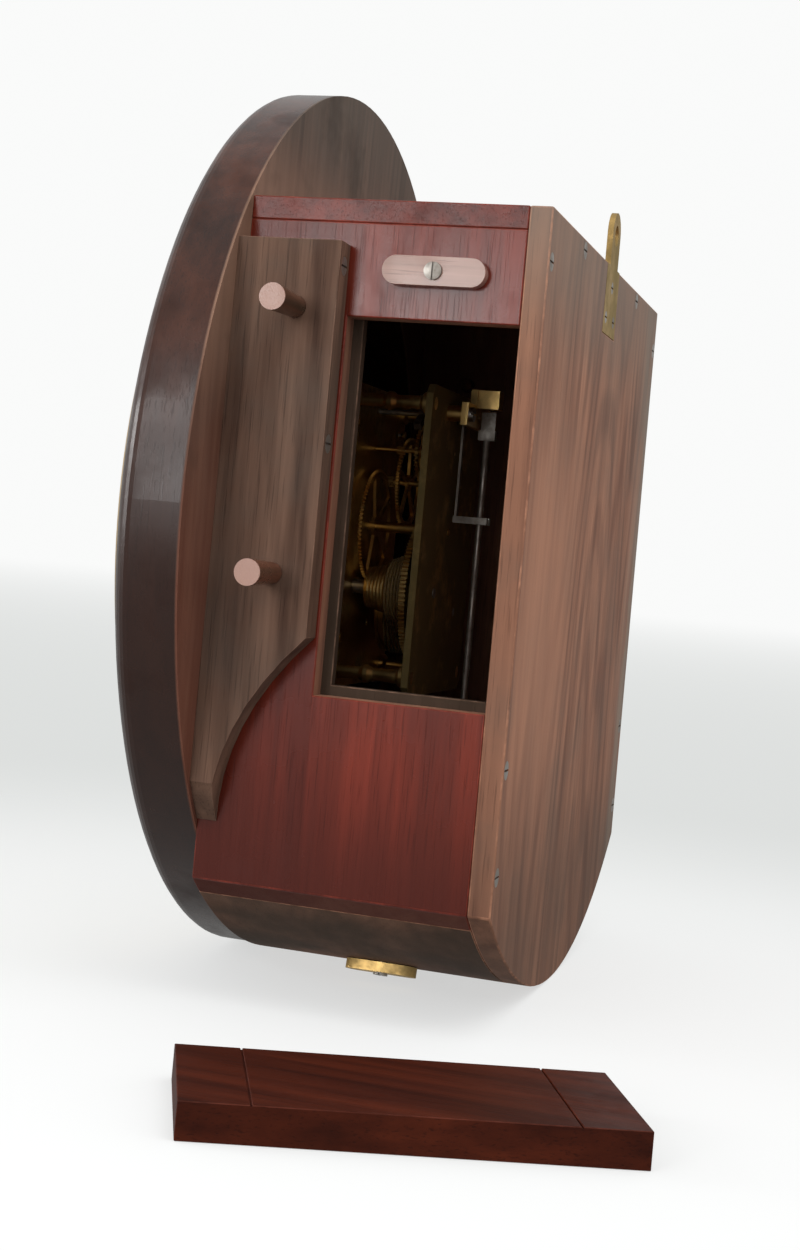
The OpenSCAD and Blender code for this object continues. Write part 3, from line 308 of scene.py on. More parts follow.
class ClockFinishes(bpy.types.PropertyGroup):
    """Colours of the clock's materials"""

    mahogany_red: colour_setting(
        "Mahogany, red", "Light grain of the polished sides", (0.245, 0.029, 0.012))
    mahogany_dark: colour_setting(
        "Mahogany, dark", "Dark grain of the polished sides", (0.074, 0.010, 0.005))
    patina_light: colour_setting(
        "Patina, light", "Light grain of the darkened surround", (0.078, 0.023, 0.011))
    patina_dark: colour_setting(
        "Patina, dark", "Dark grain of the darkened surround", (0.021, 0.007, 0.004))
    door_light: colour_setting(
        "Door, light", "Light grain of the lifted-out door", (0.088, 0.015, 0.005))
    door_dark: colour_setting(
        "Door, dark", "Dark grain of the lifted-out door", (0.030, 0.005, 0.002))
    board_light: colour_setting(
        "Back board, light", "Light grain of the bare back board", (0.440, 0.205, 0.122))
    board_dark: colour_setting(
        "Back board, dark", "Dark grain of the bare back board", (0.210, 0.092, 0.057))
    cheek_light: colour_setting(
        "Cheek, light", "Light grain of the cheeks and the surround's back", (0.235, 0.130, 0.086))
    cheek_dark: colour_setting(
        "Cheek, dark", "Dark grain of the cheeks and the surround's back", (0.078, 0.038, 0.024))
    # The button's pale tone is a painted highlight; the pegs' pale ends use it too.
    button: colour_setting(
        "Button", "The side door's turn-button of a paler wood", (0.520, 0.300, 0.235))
    peg: colour_setting("Peg", "The pegs' polished wood", (0.200, 0.066, 0.036))
    grime: colour_setting("Grime", "Grey dirt on bare wood", (0.105, 0.092, 0.076))
    # Also the tone of the painted shade on the box's bottom.
    old_stain_and_shade: colour_setting(
        "Old stain", "Dark stain low on the box and on its bottom", (0.042, 0.026, 0.015))
    red_stain: colour_setting(
        "Red stain", "Red stain low on the surround's back", (0.19, 0.052, 0.028))
    brass: colour_setting("Brass", "Clean brass", (0.77, 0.51, 0.19))
    tarnish: colour_setting("Tarnish", "Brass where it has dulled", (0.215, 0.165, 0.066))
    steel: colour_setting("Steel", "The steel parts", (0.46, 0.43, 0.39))
    brown_steel: colour_setting("Brown steel", "Steel where it has dulled", (0.115, 0.080, 0.058))
    iron: colour_setting("Iron", "The dial's bare back", (0.050, 0.038, 0.030))
    blueing: colour_setting("Blueing", "The blued hands", (0.020, 0.030, 0.085))
    gut_light: colour_setting("Gut, light", "The light strands of the gut line", (0.42, 0.27, 0.10))
    gut_dark: colour_setting("Gut, dark", "The dark strands of the gut line", (0.16, 0.09, 0.035))
    glass: colour_setting("Glass", "The glass where it mirrors", (0.86, 0.90, 0.89))
    dial_white: colour_setting("Dial white", "The painted dial", (0.80, 0.76, 0.64))
    numeral_black: colour_setting("Numeral black", "The dial's figures", (0.018, 0.016, 0.015))


class ClockDialSizes(bpy.types.PropertyGroup):
    """Sizes of what is painted on the dial"""

    numeral_high: length_setting("Numeral height", "Height of the hour figures", 31 * MM)
    numeral_ring: length_setting("Numeral ring", "Radius of the figures' middle line", 120 * MM)
    track_ring: length_setting("Minute track", "Radius of the track's inner line", 139.5 * MM)
    track_wide: length_setting("Track width", "Width of the minute track", 5 * MM)
    paint_thick: length_setting("Paint", "Thickness of the figures' paint", 0.06 * MM)


class ClockStage(bpy.types.PropertyGroup):
    """The camera, the paper floor and the lights"""

    eye: FloatVectorProperty(
        name="Camera", description="The camera's place from the middle of the surround's back",
        subtype="TRANSLATION", unit="LENGTH", default=(0.8716, 0.2648, -0.0108))
    lens: FloatProperty(
        name="Lens", description="The camera's focal length in millimetres", default=57.6)
    roll: FloatProperty(
        name="Roll", description="How far the camera is rolled, because the clock leans back",
        subtype="ANGLE", unit="ROTATION", default=math.radians(5.18))
    shift_x: FloatProperty(
        name="Shift across", description="The camera's sideways shift", default=0.0537)
    shift_y: FloatProperty(
        name="Shift up", description="The camera's upward shift", default=-0.0821)
    floor_wide: length_setting("Floor", "Radius of the paper floor", 12.0)
    bright_at: length_setting(
        "Bright spot", "How far to the right the floor is whitest", 0.25)
    paper: colour_setting("Paper", "The floor and the background", (0.955, 0.96, 0.955))
    # The grey of the ring of painted shade in the floor's glow.
    paper_painted_shade: colour_setting("Paper, grey", "The floor some way off", (0.725, 0.74, 0.73))
    paper_matt: colour_setting(
        "Paper, matt", "The floor where it takes the clock's shadow", (0.86, 0.87, 0.87))
    paper_bounce: colour_setting(
        "Paper, bounce", "What the floor throws back at the clock", (0.33, 0.33, 0.325))
    sky: FloatProperty(
        name="Sky", description="Strength of the even light all round", default=0.94)
    glint: FloatProperty(
        name="Glint", description="Brightness of the surroundings in reflections", default=0.55)
    front_window: power_setting("Front window", "Power of the light on the dial's side", 5.0)
    side_window: power_setting("Side window", "Power of the light high at the side", 1.6)
    side_strip: power_setting("Side strip", "Power of the strip that the top rail mirrors", 3.6)
    ceiling: power_setting("Ceiling", "Power of the light above", 7.0)


# Pieces


def finish_nodes(material, *names):
    """Gives CAD nodes a finish, whatever slots they came with."""
    for name in names:
        slots = NODES[name].data.materials
        slots.clear()
        slots.append(material)


def add_piece(name, bm, material, body):
    """Makes a finished piece from a bmesh whose place is in its points."""
    mesh = bpy.data.meshes.new(name)
    bm.to_mesh(mesh)
    bm.free()
    mesh.materials.append(material)
    piece = bpy.data.objects.new(name, mesh)
    bpy.context.scene.collection.objects.link(piece)
    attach(piece, body)
    return piece


def softened(mesh, width, shortest):
    """A bmesh of a board whose outer edges, if longer than shortest, are rubbed round."""
    bm = bmesh.new()
    bm.from_mesh(mesh)
    bmesh.ops.remove_doubles(bm, verts=bm.verts[:], dist=WELD)
    bmesh.ops.dissolve_limit(bm, angle_limit=FLAT_TURN, verts=bm.verts[:], edges=bm.edges[:])
    mark = bm.faces.layers.float.new("rubbed")
    outer = [edge for edge in bm.edges
             if len(edge.link_faces) == 2 and edge.is_convex and edge.calc_length() > shortest
             and edge.calc_face_angle() > CORNER_TURN]
    made = bmesh.ops.bevel(bm, geom=outer, offset=width, offset_type="OFFSET", segments=2,
                           profile=0.5, affect="EDGES", material=-1, clamp_overlap=True)
    for face in made["faces"]:
        face[mark] = 1.0
    for face in bm.faces:
        face.smooth = True
    for edge in bm.edges:
        marks = {face[mark] for face in edge.link_faces}
        edge.smooth = len(marks) == 1 and edge.calc_face_angle(0.0) < SHARP_TURN
    bmesh.ops.triangulate(bm, faces=bm.faces[:])
    return bm


def dress(material, width, *names, shortest=1.5 * MM, slot="mahogany"):
    """Puts finished copies with rubbed edges in the place of CAD nodes."""
    for name in names:
        bm = softened(NODES[name].data, width, shortest)
        piece = add_piece("worn_" + name, bm, material, NODES[name]["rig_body"])
        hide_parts(name)


# Wood


def timber(wood, axis, light, dark, rings=0.03):
    """Colour, height and streaks of wood that runs along an axis.

    The lines of its growth rings are as strong as rings says.
    """
    figure = wood.noise(wood.stretched(*FIGURE, axis), detail=3, rough=0.55, bend=0.9)
    streak = wood.noise(wood.stretched(*STREAK, axis), detail=4, rough=0.6, bend=0.4)
    pore = wood.noise(wood.stretched(*PORE, axis)).rises(0.54, 0.74)
    layer = wood.noise(wood.stretched(*LAYER, axis), rough=0.35)
    lines = (layer * RINGS_IN_LAYER).math("SINE").rises(-0.2, 1.0)
    middle = between(0.5, Vector(light), Vector(dark))
    tone = wood.steps(figure * 0.6 + streak * 0.4 - lines * rings,
                      (0.34, dark), (0.5, middle), (0.64, light))
    return wood.tint(pore * 0.5, tone, scaled(dark, 0.45)), streak * 0.5 - pore * 0.7, streak


def wood_material(name, axis, bare_tones, look, fine_tones=None, shine=None, stains_and_painted_light=None,
                  gloss=0.3, specular=0.25, soft=0.22, matt=0.0, rings=0.05):
    """Bare wood, or polished with fine_tones, and then only where shine is 1 if it is given.

    The pairs of a mask and the tone that it lays over the wood carry stains, and also painted shade
    and painted highlights.
    """
    wood = Finish(name)
    tone, height, streak = timber(wood, axis, *bare_tones, rings)
    tone = wood.tint(wood.patches(19, 0.38, 0.68, 5, 0.62) * 0.3, tone, look.grime)
    rough = 0.80 - streak * 0.12
    coat = 0.0
    if fine_tones:
        fine, fine_height, fine_streak = timber(wood, axis, *fine_tones)
        worn = wood.patches(26, 0.48, 0.74)
        polished = shine(wood) if shine else 1.0
        faded = scaled(between(0.5, Vector(fine_tones[0]), Vector(fine_tones[1])), 1 / 1.3)
        tone = wood.tint(polished, tone, wood.tint(worn * 0.35, fine, faded))
        rough = between(polished, rough, fine_streak * 0.08 + worn * 0.16 + 0.22 + matt)
        height = between(polished, height, fine_height * 0.5)
        coat = (gloss - worn * 0.75 * gloss) * polished
    for mask, layer in stains_and_painted_light(wood, look) if stains_and_painted_light else ():
        tone = wood.tint(mask, tone, layer)
    rubbed = wood.out("ShaderNodeAttribute", "Fac", {"attribute_name": "rubbed"})
    pale = [min(1.0, c * 1.35 + 0.012) for c in (fine_tones or bare_tones)[0]]
    tone = wood.tint(rubbed * (wood.patches(75, 0.42, 0.66, 4, 0.7) * 0.5 + 0.1), tone, pale)
    return wood.surface(tone, rubbed * 0.12 + rough, 0.0, wood.bump(height, 0.22 * MM, 0.5),
                        Specular_IOR_Level=specular, Coat_Weight=coat, Coat_Roughness=soft)


def at_face(along, face, deep=0.9 * MM):
    """1 on the face that stands at this coordinate, 0 from a little way under it."""
    return along.rises(face - deep, face - 0.2 * MM)


def side_faces(wood):
    return at_face(abs(wood.x), SIDE_OUT)


def top_and_side_faces(wood):
    return at_face(wood.z, BOX_TOP).most(side_faces(wood))


def ring_front(wood):
    return wood.y.falls(SURROUND_BACK - 1.4 * MM, SURROUND_BACK - 0.3 * MM)


def side_painted_shade(wood, look):
    """Painted shade low on the box's sides, and darker close to the surround."""
    low = wood.z.falls(DIAL_Z - 142 * MM, DIAL_Z - 84 * MM)
    front = wood.y.falls(SURROUND_BACK + 5 * MM, SURROUND_BACK + 55 * MM)
    return (low * 0.85, look.mahogany_dark), (front * 0.5, look.mahogany_dark)


def board_stain(wood, look):
    """Grey along the left edge and the top, dark low down and pale in the right half's middle."""
    edge = abs(wood.x).rises(SIDE_OUT - 48 * MM, SIDE_OUT) * wood.x.falls(0, 100 * MM)
    edge = edge * wood.noise(wood.stretched(40, 9, Z), detail=4, rough=0.6).rises(0.3, 0.62)
    top = wood.z.rises(BOX_TOP - 70 * MM, BOX_TOP)
    low = wood.z.falls(DIAL_Z - 170 * MM, DIAL_Z - 70 * MM)
    near = wood.x.rises(20 * MM, 70 * MM) * wood.x.falls(SIDE_OUT - 12 * MM, SIDE_OUT - 2 * MM)
    middle = near * abs(wood.z - DIAL_Z + 30 * MM).falls(20 * MM, 120 * MM)
    grey = scaled(look.grime, 2.4)
    return ((edge * 0.8, grey), (top * 0.5, grey), (low * 0.4, look.old_stain_and_shade),
            (middle * 0.5, scaled(look.board_light, 1.25)))


def ring_stain_and_shade(wood, look):
    """On the surround's bare back red low down, grey at the top and pale between.

    Its polished front is darker low down: painted shade.
    """
    front = ring_front(wood)
    back = 1 - front
    low = wood.z.falls(DIAL_Z - 60 * MM, DIAL_Z + 120 * MM)
    top = wood.z.rises(DIAL_Z + 110 * MM, DIAL_Z + 185 * MM)
    middle = (wood.z.rises(DIAL_Z + 30 * MM, DIAL_Z + 80 * MM)
              - wood.z.rises(DIAL_Z + 120 * MM, DIAL_Z + 160 * MM))
    mottled = wood.patches(16, 0.50, 0.68, 4, 0.65)
    # The last pair is painted shade low on the polished front.
    return ((low * 0.6 * back, look.red_stain), (top * 0.6 * back, look.grime),
            (middle * 0.6 * back, scaled(look.cheek_light, 1.3)),
            (mottled * 0.45 * back, look.old_stain_and_shade), (low * front * 0.8, look.patina_dark))


def peg_end_highlight(wood, look):
    """The pegs' ends painted pale: a painted highlight."""
    return ((at_face(abs(wood.x), PEG_END, 1.0 * MM) * 0.8, look.button),)


# Darker all over and more in patches: painted shade on the box's bottom and bottom door; the door
# stops take the same darkening.
def dark_stain_and_shade(wood, look):
    return ((wood.patches(9, 0.35, 0.6) * 0.55 + 0.35, look.old_stain_and_shade),)


class CLOCK_OT_woodwork(bpy.types.Operator):
    """Finish the surround, the box, the cheeks, the doors and the pegs"""

    bl_idname = "clock.woodwork"
    bl_label = "Woodwork"

    def execute(self, context):
        look = context.scene.clock_finishes
        sides = (look.mahogany_red, look.mahogany_dark)
        board = (look.board_light, look.board_dark)
        cheek = (look.cheek_light, look.cheek_dark)
        patina = (look.patina_light, look.patina_dark)
        door = (look.door_light, look.door_dark)
        button = (look.button, scaled(look.button, 0.5))

        # The surround's polished front carries painted shade low down.
        finish_nodes(wood_material("turned_mahogany", Z, cheek, look, patina, ring_front,
                                   ring_stain_and_shade, gloss=0.6, soft=0.34),
                     "dial_surround")
        # The sides carry painted shade low down.
        dress(wood_material("box_side_wood", Z, board, look, sides, side_faces, side_painted_shade),
              0.5 * MM, "box_side_right", "box_side_left")
        dress(wood_material("box_top_wood", X, board, look, sides, top_and_side_faces),
              0.5 * MM, "box_top")
        dress(wood_material("back_board_wood", Z, board, look, stains_and_painted_light=board_stain, rings=0.11),
              0.7 * MM, "back_board", slot="raw_wood")
        dress(wood_material("cheek_wood", Z, cheek, look),
              0.7 * MM, "cheek_right", "cheek_left", slot="raw_wood")
        # The bottom and its door carry painted shade.
        dress(wood_material("bottom_wood", X, board, look, stains_and_painted_light=dark_stain_and_shade),
              0.6 * MM, "box_bottom", "bottom_door", slot="raw_wood")
        dress(wood_material("stop_wood", Z, cheek, look, stains_and_painted_light=dark_stain_and_shade),
              0.4 * MM, "door_stops", slot="raw_wood")
        dress(wood_material("door_wood", Y, door, look, door, gloss=0.06, specular=0.1, matt=0.2),
              0.28 * MM, "side_door")
        # The button's pale tone is a painted highlight.
        dress(wood_material("button_wood", Y, button, look, button, gloss=0.7),
              0.8 * MM, "side_button", shortest=0.2 * MM)
        # The pegs' pale ends are a painted highlight.
        finish_nodes(wood_material("peg_wood", X, cheek, look, (look.peg, look.old_stain_and_shade),
                                   stains_and_painted_light=peg_end_highlight),
                     "peg_upper_right", "peg_lower_right", "peg_upper_left", "peg_lower_left")
        return {"FINISHED"}


# Metal


def metal_material(name, clean, dull, age, brushed, rough=0.3, dent=0.02 * MM):
    """Metal with patches of tarnish, as much as age says, and fine scratches along brushed."""
    metal = Finish(name)
    scratch = metal.noise(metal.stretched(5000, 200, brushed))
    cloud = metal.patches(45, 0.62 - age * 0.5, 0.86 - age * 0.4, 5, 0.65)
    spot = metal.patches(420, 0.6, 0.72, 3) * 0.5
    aged = (cloud + spot * cloud).least(1.0)
    return metal.surface(metal.tint(aged * (0.35 + 0.6 * age), clean, dull),
                         rough + aged * 0.28 + scratch * 0.08, 1.0 - aged * 0.35,
                         metal.bump(scratch * 0.4 + aged * 0.6, dent, 0.5))


def gut_material(look):
    gut = Finish("gut")
    twist = gut.noise(gut.place, 900, 3, 0.6)
    return gut.surface(gut.tint(twist, look.gut_light, look.gut_dark), 0.45, 0.0,
                       gut.bump(twist, 0.1 * MM, 0.5))


class CLOCK_OT_metalwork(bpy.types.Operator):
    """Finish the bezel, the fittings and the movement"""

    bl_idname = "clock.metalwork"
    bl_label = "Metalwork"

    def execute(self, context):
        look = context.scene.clock_finishes
        brass = (look.brass, look.tarnish)
        worn_brass = (scaled(look.brass, 0.72), look.tarnish)
        steel = (look.steel, look.brown_steel)
        blued = (look.blueing, scaled(look.blueing, 0.4))

        finish_nodes(metal_material("bezel_brass", *brass, age=0.25, brushed=Y, rough=0.24,
                                    dent=0.004 * MM),
                     "bezel_ring", "bezel_hinge", "bezel_catch")
        finish_nodes(metal_material("old_brass", *brass, age=0.55, brushed=Z, rough=0.34),
                     "bottom_hinge_fixed", "bottom_hinge_moving", "bottom_button",
                     "pendulum_bob", "rating_nut")
        finish_nodes(metal_material("plate_brass", *brass, age=0.85, brushed=Z, rough=0.4),
                     "back_plate")
        finish_nodes(metal_material("hanger_brass", *worn_brass, age=0.55, brushed=Z, rough=0.42),
                     "hanging_plate")
        finish_nodes(metal_material("wheel_brass", *brass, age=0.3, brushed=Y, rough=0.28),
                     "front_plate", "plate_pillars", "barrel", "fusee", "great_wheel",
                     "centre_wheel", "third_wheel", "escape_wheel", "cannon_wheel",
                     "minute_wheel", "hour_wheel", "dial_feet", "back_cock", "hand_collet")
        finish_nodes(metal_material("steel", *steel, age=0.5, brushed=Z),
                     "cheek_screws", "back_screws", "hanging_screws", "side_button_screw",
                     "bottom_button_screw", "dial_screws", "foot_pins", "pillar_pins",
                     "barrel_arbor", "setup_ratchet", "setup_click", "fusee_arbor", "pallets",
                     "cock_screws", "pendulum_rod")
        finish_nodes(metal_material("blued_steel", *blued, age=0.3, brushed=Z, rough=0.2),
                     "hour_hand", "minute_hand")
        finish_nodes(gut_material(look), "gut_line")
        return {"FINISHED"}


# Dial


def dial_material(look):
    """White paint, yellowed towards the rim, over a plate that is bare iron behind."""
    paint = Finish("dial_paint")
    away = ((paint.x - DIAL_X) ** 2 + (paint.z - DIAL_Z) ** 2) ** 0.5
    speck = paint.patches(600, 0.62, 0.75, 3)
    cloud = paint.noise(paint.place, 22, 4, 0.6)
    aged = [c * share for c, share in zip(look.dial_white, (0.72, 0.6, 0.42))]
    yellowing = away.rises(90 * MM, 160 * MM) * 0.35 + cloud.rises(0.4, 0.8) * 0.25
    tone = paint.tint(yellowing, look.dial_white, aged)
    tone = paint.tint(speck * 0.35, tone, scaled(aged, 0.5))
    behind = paint.y.rises(DIAL_FACE + 0.3 * MM, DIAL_FACE + 0.9 * MM)
    return paint.surface(paint.tint(behind, tone, look.iron), 0.36 + cloud * 0.2, 0.0,
                         paint.bump(cloud + speck * 0.2, 0.05 * MM, 0.4),
                         Coat_Weight=0.25, Coat_Roughness=0.2)


def numeral_material(look):
    paint = Finish("numeral_paint")
    worn = paint.noise(paint.place, 350, 4, 0.6)
    tone = paint.tint(worn.rises(0.6, 0.8) * 0.4, look.numeral_black, look.dial_white)
    return paint.surface(tone, 0.35, 0.0, paint.bump(worn, 0.03 * MM, 0.4))


def glass_material(look):
    """Glass that is clear from the front and mirrors towards its edges."""
    glass = Finish("window_glass")
    smear = glass.patches(30, 0.4, 0.8)
    edge = glass.out("ShaderNodeLayerWeight", "Facing", None, {"Blend": 0.5}) ** 5
    return glass.surface(look.glass, 0.03 + smear * 0.05, 1.0,
                         Alpha=(edge * 0.7 + smear * 0.015 + 0.035).least(1.0))


def stroke(bm, width, height, thick, at, lean=0.0):
    """A flat bar of paint in X and Z, whose top stands lean further right than its foot."""
    bar = bmesh.ops.create_cube(bm, size=1)
    shape = Matrix(((width, 0, lean, 0), (0, thick, 0, 0), (0, 0, height, 0), (0, 0, 0, 1)))
    place = Matrix.Translation((at[0], 0, at[1]))
    bmesh.ops.transform(bm, matrix=place @ shape, verts=bar["verts"])


def letter(bm, kind, x, high, thick):
    """One Roman letter of an hour figure, its middle at x."""
    heavy = HEAVY * high
    light = LIGHT * high
    serif = SERIF * high
    inner = high - 2 * serif
    if kind == "I":
        stroke(bm, heavy, inner, thick, (x, 0))
        serifs = [(x, end) for end in (-1, 1)]
    elif kind == "V":
        lean = V_LEAN * high
        stroke(bm, heavy, inner, thick, (x - lean / 2, 0), -lean)
        stroke(bm, light, inner, thick, (x + V_THIN_STROKE * high, 0), lean)
        serifs = [(x + share * high, 1) for share in V_SERIFS]
    else:
        lean = X_LEAN * high
        stroke(bm, heavy, inner, thick, (x, 0), -lean)
        stroke(bm, light, inner, thick, (x, 0), lean)
        serifs = [(x + side * lean / 2, end) for side in (-1, 1) for end in (-1, 1)]
    for place, end in serifs:
        at = (place, end * (high - serif) / 2)
        stroke(bm, SERIF_WIDTH[kind] * high, serif, thick, at)


def on_dial(bm, thick):
    """Lays paint that was made in X and Z about the origin on the dial's face."""
    place = Vector((DIAL_X, DIAL_FACE - thick / 2, DIAL_Z))
    bmesh.ops.translate(bm, vec=place, verts=bm.verts[:])
    return bm


def hour_figure(hour, sizes):
    """An hour figure, upright at the top of its ring and then turned to its hour."""
    bm = bmesh.new()
    high = sizes.numeral_high
    x = -sum(LETTER_WIDTH[kind] for kind in HOURS[hour]) * high / 2
    for kind in HOURS[hour]:
        wide = LETTER_WIDTH[kind] * high
        letter(bm, kind, x + wide / 2, high, sizes.paint_thick)
        x += wide
    bmesh.ops.translate(bm, vec=Vector((0, 0, sizes.numeral_ring)), verts=bm.verts[:])
    turn = Matrix.Rotation(math.tau * hour / 12, 4, "Y")
    bmesh.ops.transform(bm, matrix=turn, verts=bm.verts[:])
    return on_dial(bm, sizes.paint_thick)


def ring_of_paint(bm, middle, wide, thick, segments=180):
    """A flat ring about the origin in X and Y; middle is the radius of its middle line."""
    inner = middle - wide / 2
    outer = middle + wide / 2
    line = bmesh.ops.create_circle(bm, radius=inner, segments=segments)
    edges = list({edge for vert in line["verts"] for edge in vert.link_edges})
    flat = bmesh.ops.extrude_edge_only(bm, edges=edges)["geom"]
    rim = [part for part in flat if isinstance(part, bmesh.types.BMVert)]
    bmesh.ops.scale(bm, vec=Vector((outer / inner, outer / inner, 1)), verts=rim)
    faces = [part for part in flat if isinstance(part, bmesh.types.BMFace)]
    raised = bmesh.ops.extrude_face_region(bm, geom=faces)["geom"]
    bmesh.ops.translate(bm, vec=Vector((0, 0, thick)),
                        verts=[part for part in raised if isinstance(part, bmesh.types.BMVert)])
    bmesh.ops.recalc_face_normals(bm, faces=bm.faces[:])


def minute_track(sizes):
    """Two rings with sixty bars between them, every fifth one heavier."""
    bm = bmesh.new()
    thick = sizes.paint_thick
    inner = sizes.track_ring
    outer = inner + sizes.track_wide
    ring_of_paint(bm, inner, TRACK_LINE, thick)
    ring_of_paint(bm, outer, TRACK_LINE, thick)
    upright = Matrix.Rotation(math.pi / 2, 3, "X")
    bmesh.ops.rotate(bm, cent=Vector(), matrix=upright, verts=bm.verts[:])
    bmesh.ops.translate(bm, vec=Vector((0, thick / 2, 0)), verts=bm.verts[:])
    for minute in range(60):
        bar = bmesh.ops.create_cube(bm, size=1)
        wide = MINUTE_BAR if minute % 5 else FIVE_MINUTE_BAR
        place = (Matrix.Rotation(math.tau * minute / 60, 4, "Y")
                 @ Matrix.Translation((0, 0, (inner + outer) / 2))
                 @ Matrix.Diagonal((wide, thick, sizes.track_wide, 1)))
        bmesh.ops.transform(bm, matrix=place, verts=bar["verts"])
    return on_dial(bm, thick)


class CLOCK_OT_dial(bpy.types.Operator):
    """Paint the dial with its hour figures and minute track"""

    bl_idname = "clock.dial"
    bl_label = "Dial"

    def execute(self, context):
        look = context.scene.clock_finishes
        sizes = context.scene.clock_dial
        finish_nodes(dial_material(look), "dial_plate")
        black = numeral_material(look)
        for hour in range(12):
            piece = add_piece("hour_figure_%02d" % (hour or 12), hour_figure(hour, sizes), black,
                              "case")
        add_piece("minute_track", minute_track(sizes), black, "case")
        return {"FINISHED"}


class CLOCK_OT_glazing(bpy.types.Operator):
    """Finish the bezel's glass"""

    bl_idname = "clock.glazing"
    bl_label = "Glazing"

    def execute(self, context):
        finish_nodes(glass_material(context.scene.clock_finishes), "bezel_glass")
        return {"FINISHED"}


# Stage


def floor_material(stage):
    """Pale glowing paper that takes the clock's shadow, with a ring of painted shade some way off,
    and then lost in the pale.

    The camera sees the paper itself, other rays a plain bounce, and from below it is clear.
    """
    floor = Finish("floor")

    def glow(tone):
        return floor.out("ShaderNodeEmission", 0, None, {"Color": rgba(tone), "Strength": 1.0})

    seen = floor.out("ShaderNodeLightPath", "Is Camera Ray")
    away = ((floor.x - stage.bright_at) ** 2 + floor.y ** 2) ** 0.5
    near = away.falls(0.1, 0.7)
    # A ring of painted shade in the paper's glow.
    far = away.rises(0.10, 0.95) * away.falls(0.7, 9)
    matt = floor.out("ShaderNodeBsdfDiffuse", 0, None, {"Color": rgba(stage.paper_matt)})
    paper = floor.mix(near * 0.42, floor.mix(far, glow(stage.paper), glow(stage.paper_painted_shade)), matt)
    above = floor.mix(seen, glow(stage.paper_bounce), paper)
    below = floor.out("ShaderNodeNewGeometry", "Backfacing")
    return floor.end(floor.mix(below, above, floor.out("ShaderNodeBsdfTransparent", 0)))


def lay_floor(stage):
    bm = bmesh.new()
    bmesh.ops.create_circle(bm, cap_ends=True, segments=96, radius=stage.floor_wide)
    bmesh.ops.translate(bm, vec=Vector((0, 0, FLOOR_Z - 0.05 * MM)), verts=bm.verts[:])
    mesh = bpy.data.meshes.new("floor")
    bm.to_mesh(mesh)
    bm.free()
    mesh.materials.append(floor_material(stage))
    floor = bpy.data.objects.new("floor", mesh)
    bpy.context.scene.collection.objects.link(floor)


def light_surroundings(stage):
    """A pale background whose light on the clock is sky and whose reflection is glint."""
    world = bpy.data.worlds.new("studio")
    bpy.context.scene.world = world
    world.use_nodes = True
    air = Graph(world.node_tree)
    seen = air.out("ShaderNodeLightPath", "Is Camera Ray")
    straight = seen.most(air.out("ShaderNodeLightPath", "Is Transmission Ray"))
    glossy = air.out("ShaderNodeLightPath", "Is Glossy Ray")
    strength = straight * (1 - stage.sky) + glossy * (stage.glint - stage.sky) + stage.sky
    background = air.out("ShaderNodeBackground", 0, None,
                         {"Color": rgba(stage.paper), "Strength": strength})
    air.add("ShaderNodeOutputWorld", None, {0: background})


def hang_lamp(name, place, target, wide, high, power):
    """A lamp with a flat face that looks at the target."""
    light = bpy.data.lights.new(name, "AREA")
    light.shape = "RECTANGLE"
    light.size = wide
    light.size_y = high
    light.energy = power
    lamp = bpy.data.objects.new(name, light)
    lamp.location = place
    lamp.rotation_euler = (target - place).to_track_quat("-Z", "Y").to_euler()
    lamp.visible_camera = False
    bpy.context.scene.collection.objects.link(lamp)


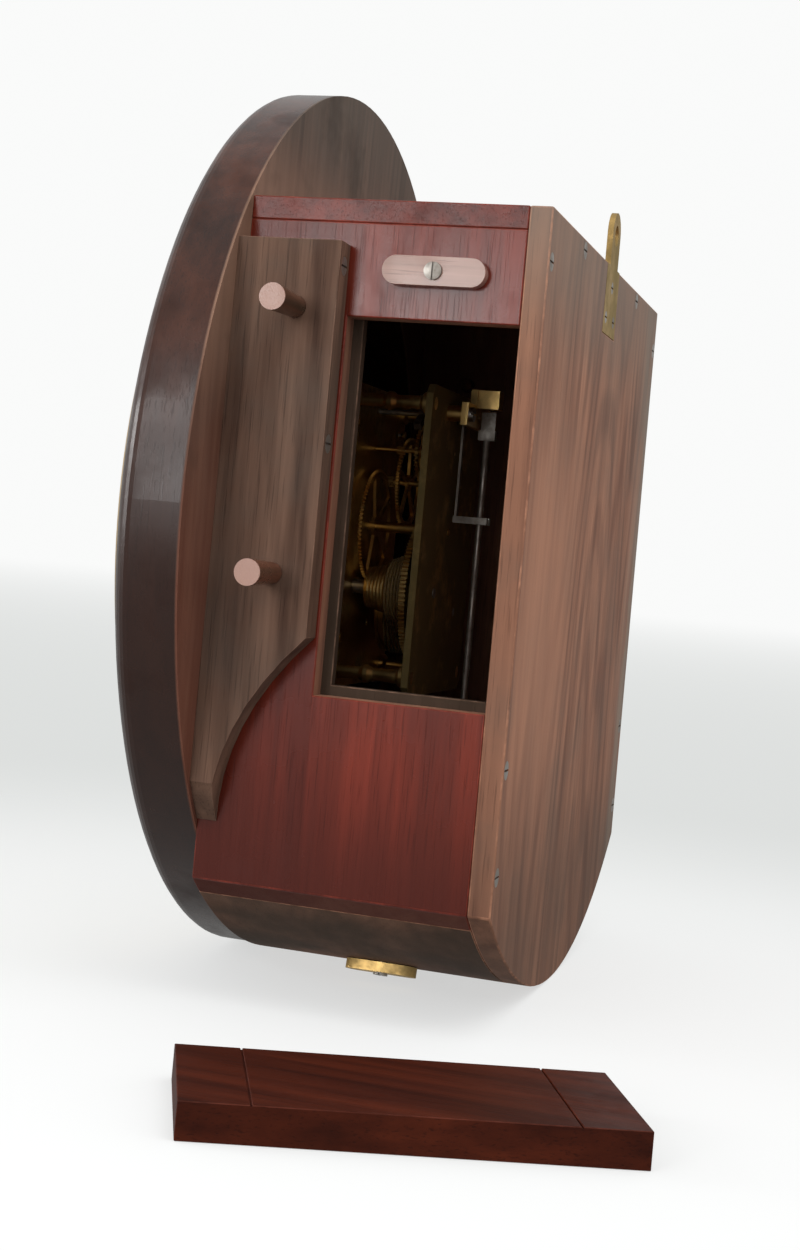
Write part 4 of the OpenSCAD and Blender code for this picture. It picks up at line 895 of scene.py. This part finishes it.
def set_camera(stage, middle):
    camera = bpy.data.objects.new("camera", bpy.data.cameras.new("camera"))
    bpy.context.scene.collection.objects.link(camera)
    camera.location = middle + Vector(stage.eye)
    aim = (-Vector(stage.eye)).to_track_quat("-Z", "Y")
    camera.rotation_mode = "QUATERNION"
    camera.rotation_quaternion = aim @ Matrix.Rotation(stage.roll, 3, "Z").to_quaternion()
    camera.data.sensor_width = 36
    camera.data.lens = stage.lens
    camera.data.shift_x = stage.shift_x
    camera.data.shift_y = stage.shift_y
    camera.data.clip_start = 0.01
    camera.data.clip_end = 50
    bpy.context.scene.camera = camera


class CLOCK_OT_stage(bpy.types.Operator):
    """Set the floor, the lights, the pale surroundings and the camera"""

    bl_idname = "clock.stage"
    bl_label = "Stage"

    def execute(self, context):
        stage = context.scene.clock_stage
        middle = Vector((DIAL_X, SURROUND_BACK, DIAL_Z))
        lay_floor(stage)
        light_surroundings(stage)
        for name, (place, wide, high) in LAMPS.items():
            hang_lamp(name, middle + Vector(place), middle, wide, high, getattr(stage, name))
        set_camera(stage, middle)
        context.scene.view_settings.view_transform = "Standard"
        return {"FINISHED"}


class CLOCK_PT_panel(bpy.types.Panel):
    """The steps in their order, and the colours and sizes that they use"""

    bl_idname = "CLOCK_PT_panel"
    bl_label = "Gallery clock"
    bl_space_type = "VIEW_3D"
    bl_region_type = "UI"
    bl_category = "Clock"

    def draw(self, context):
        for step in STEPS:
            self.layout.operator(step.bl_idname)
        scene = context.scene
        for group in (scene.clock_finishes, scene.clock_dial, scene.clock_stage):
            box = self.layout.box()
            for name in group.__annotations__:
                box.prop(group, name)


STEPS = (CLOCK_OT_stage, CLOCK_OT_woodwork, CLOCK_OT_metalwork, CLOCK_OT_dial, CLOCK_OT_glazing)
CLASSES = (ClockFinishes, ClockDialSizes, ClockStage, *STEPS, CLOCK_PT_panel)


def register():
    for cls in CLASSES:
        bpy.utils.register_class(cls)
    bpy.types.Scene.clock_finishes = PointerProperty(type=ClockFinishes)
    bpy.types.Scene.clock_dial = PointerProperty(type=ClockDialSizes)
    bpy.types.Scene.clock_stage = PointerProperty(type=ClockStage)


def unregister():
    del bpy.types.Scene.clock_stage
    del bpy.types.Scene.clock_dial
    del bpy.types.Scene.clock_finishes
    for cls in reversed(CLASSES):
        bpy.utils.unregister_class(cls)


def main():
    register()
    bpy.ops.clock.stage()
    bpy.ops.clock.woodwork()
    bpy.ops.clock.metalwork()
    bpy.ops.clock.dial()
    bpy.ops.clock.glazing()


if __name__ == "__main__":
    main()
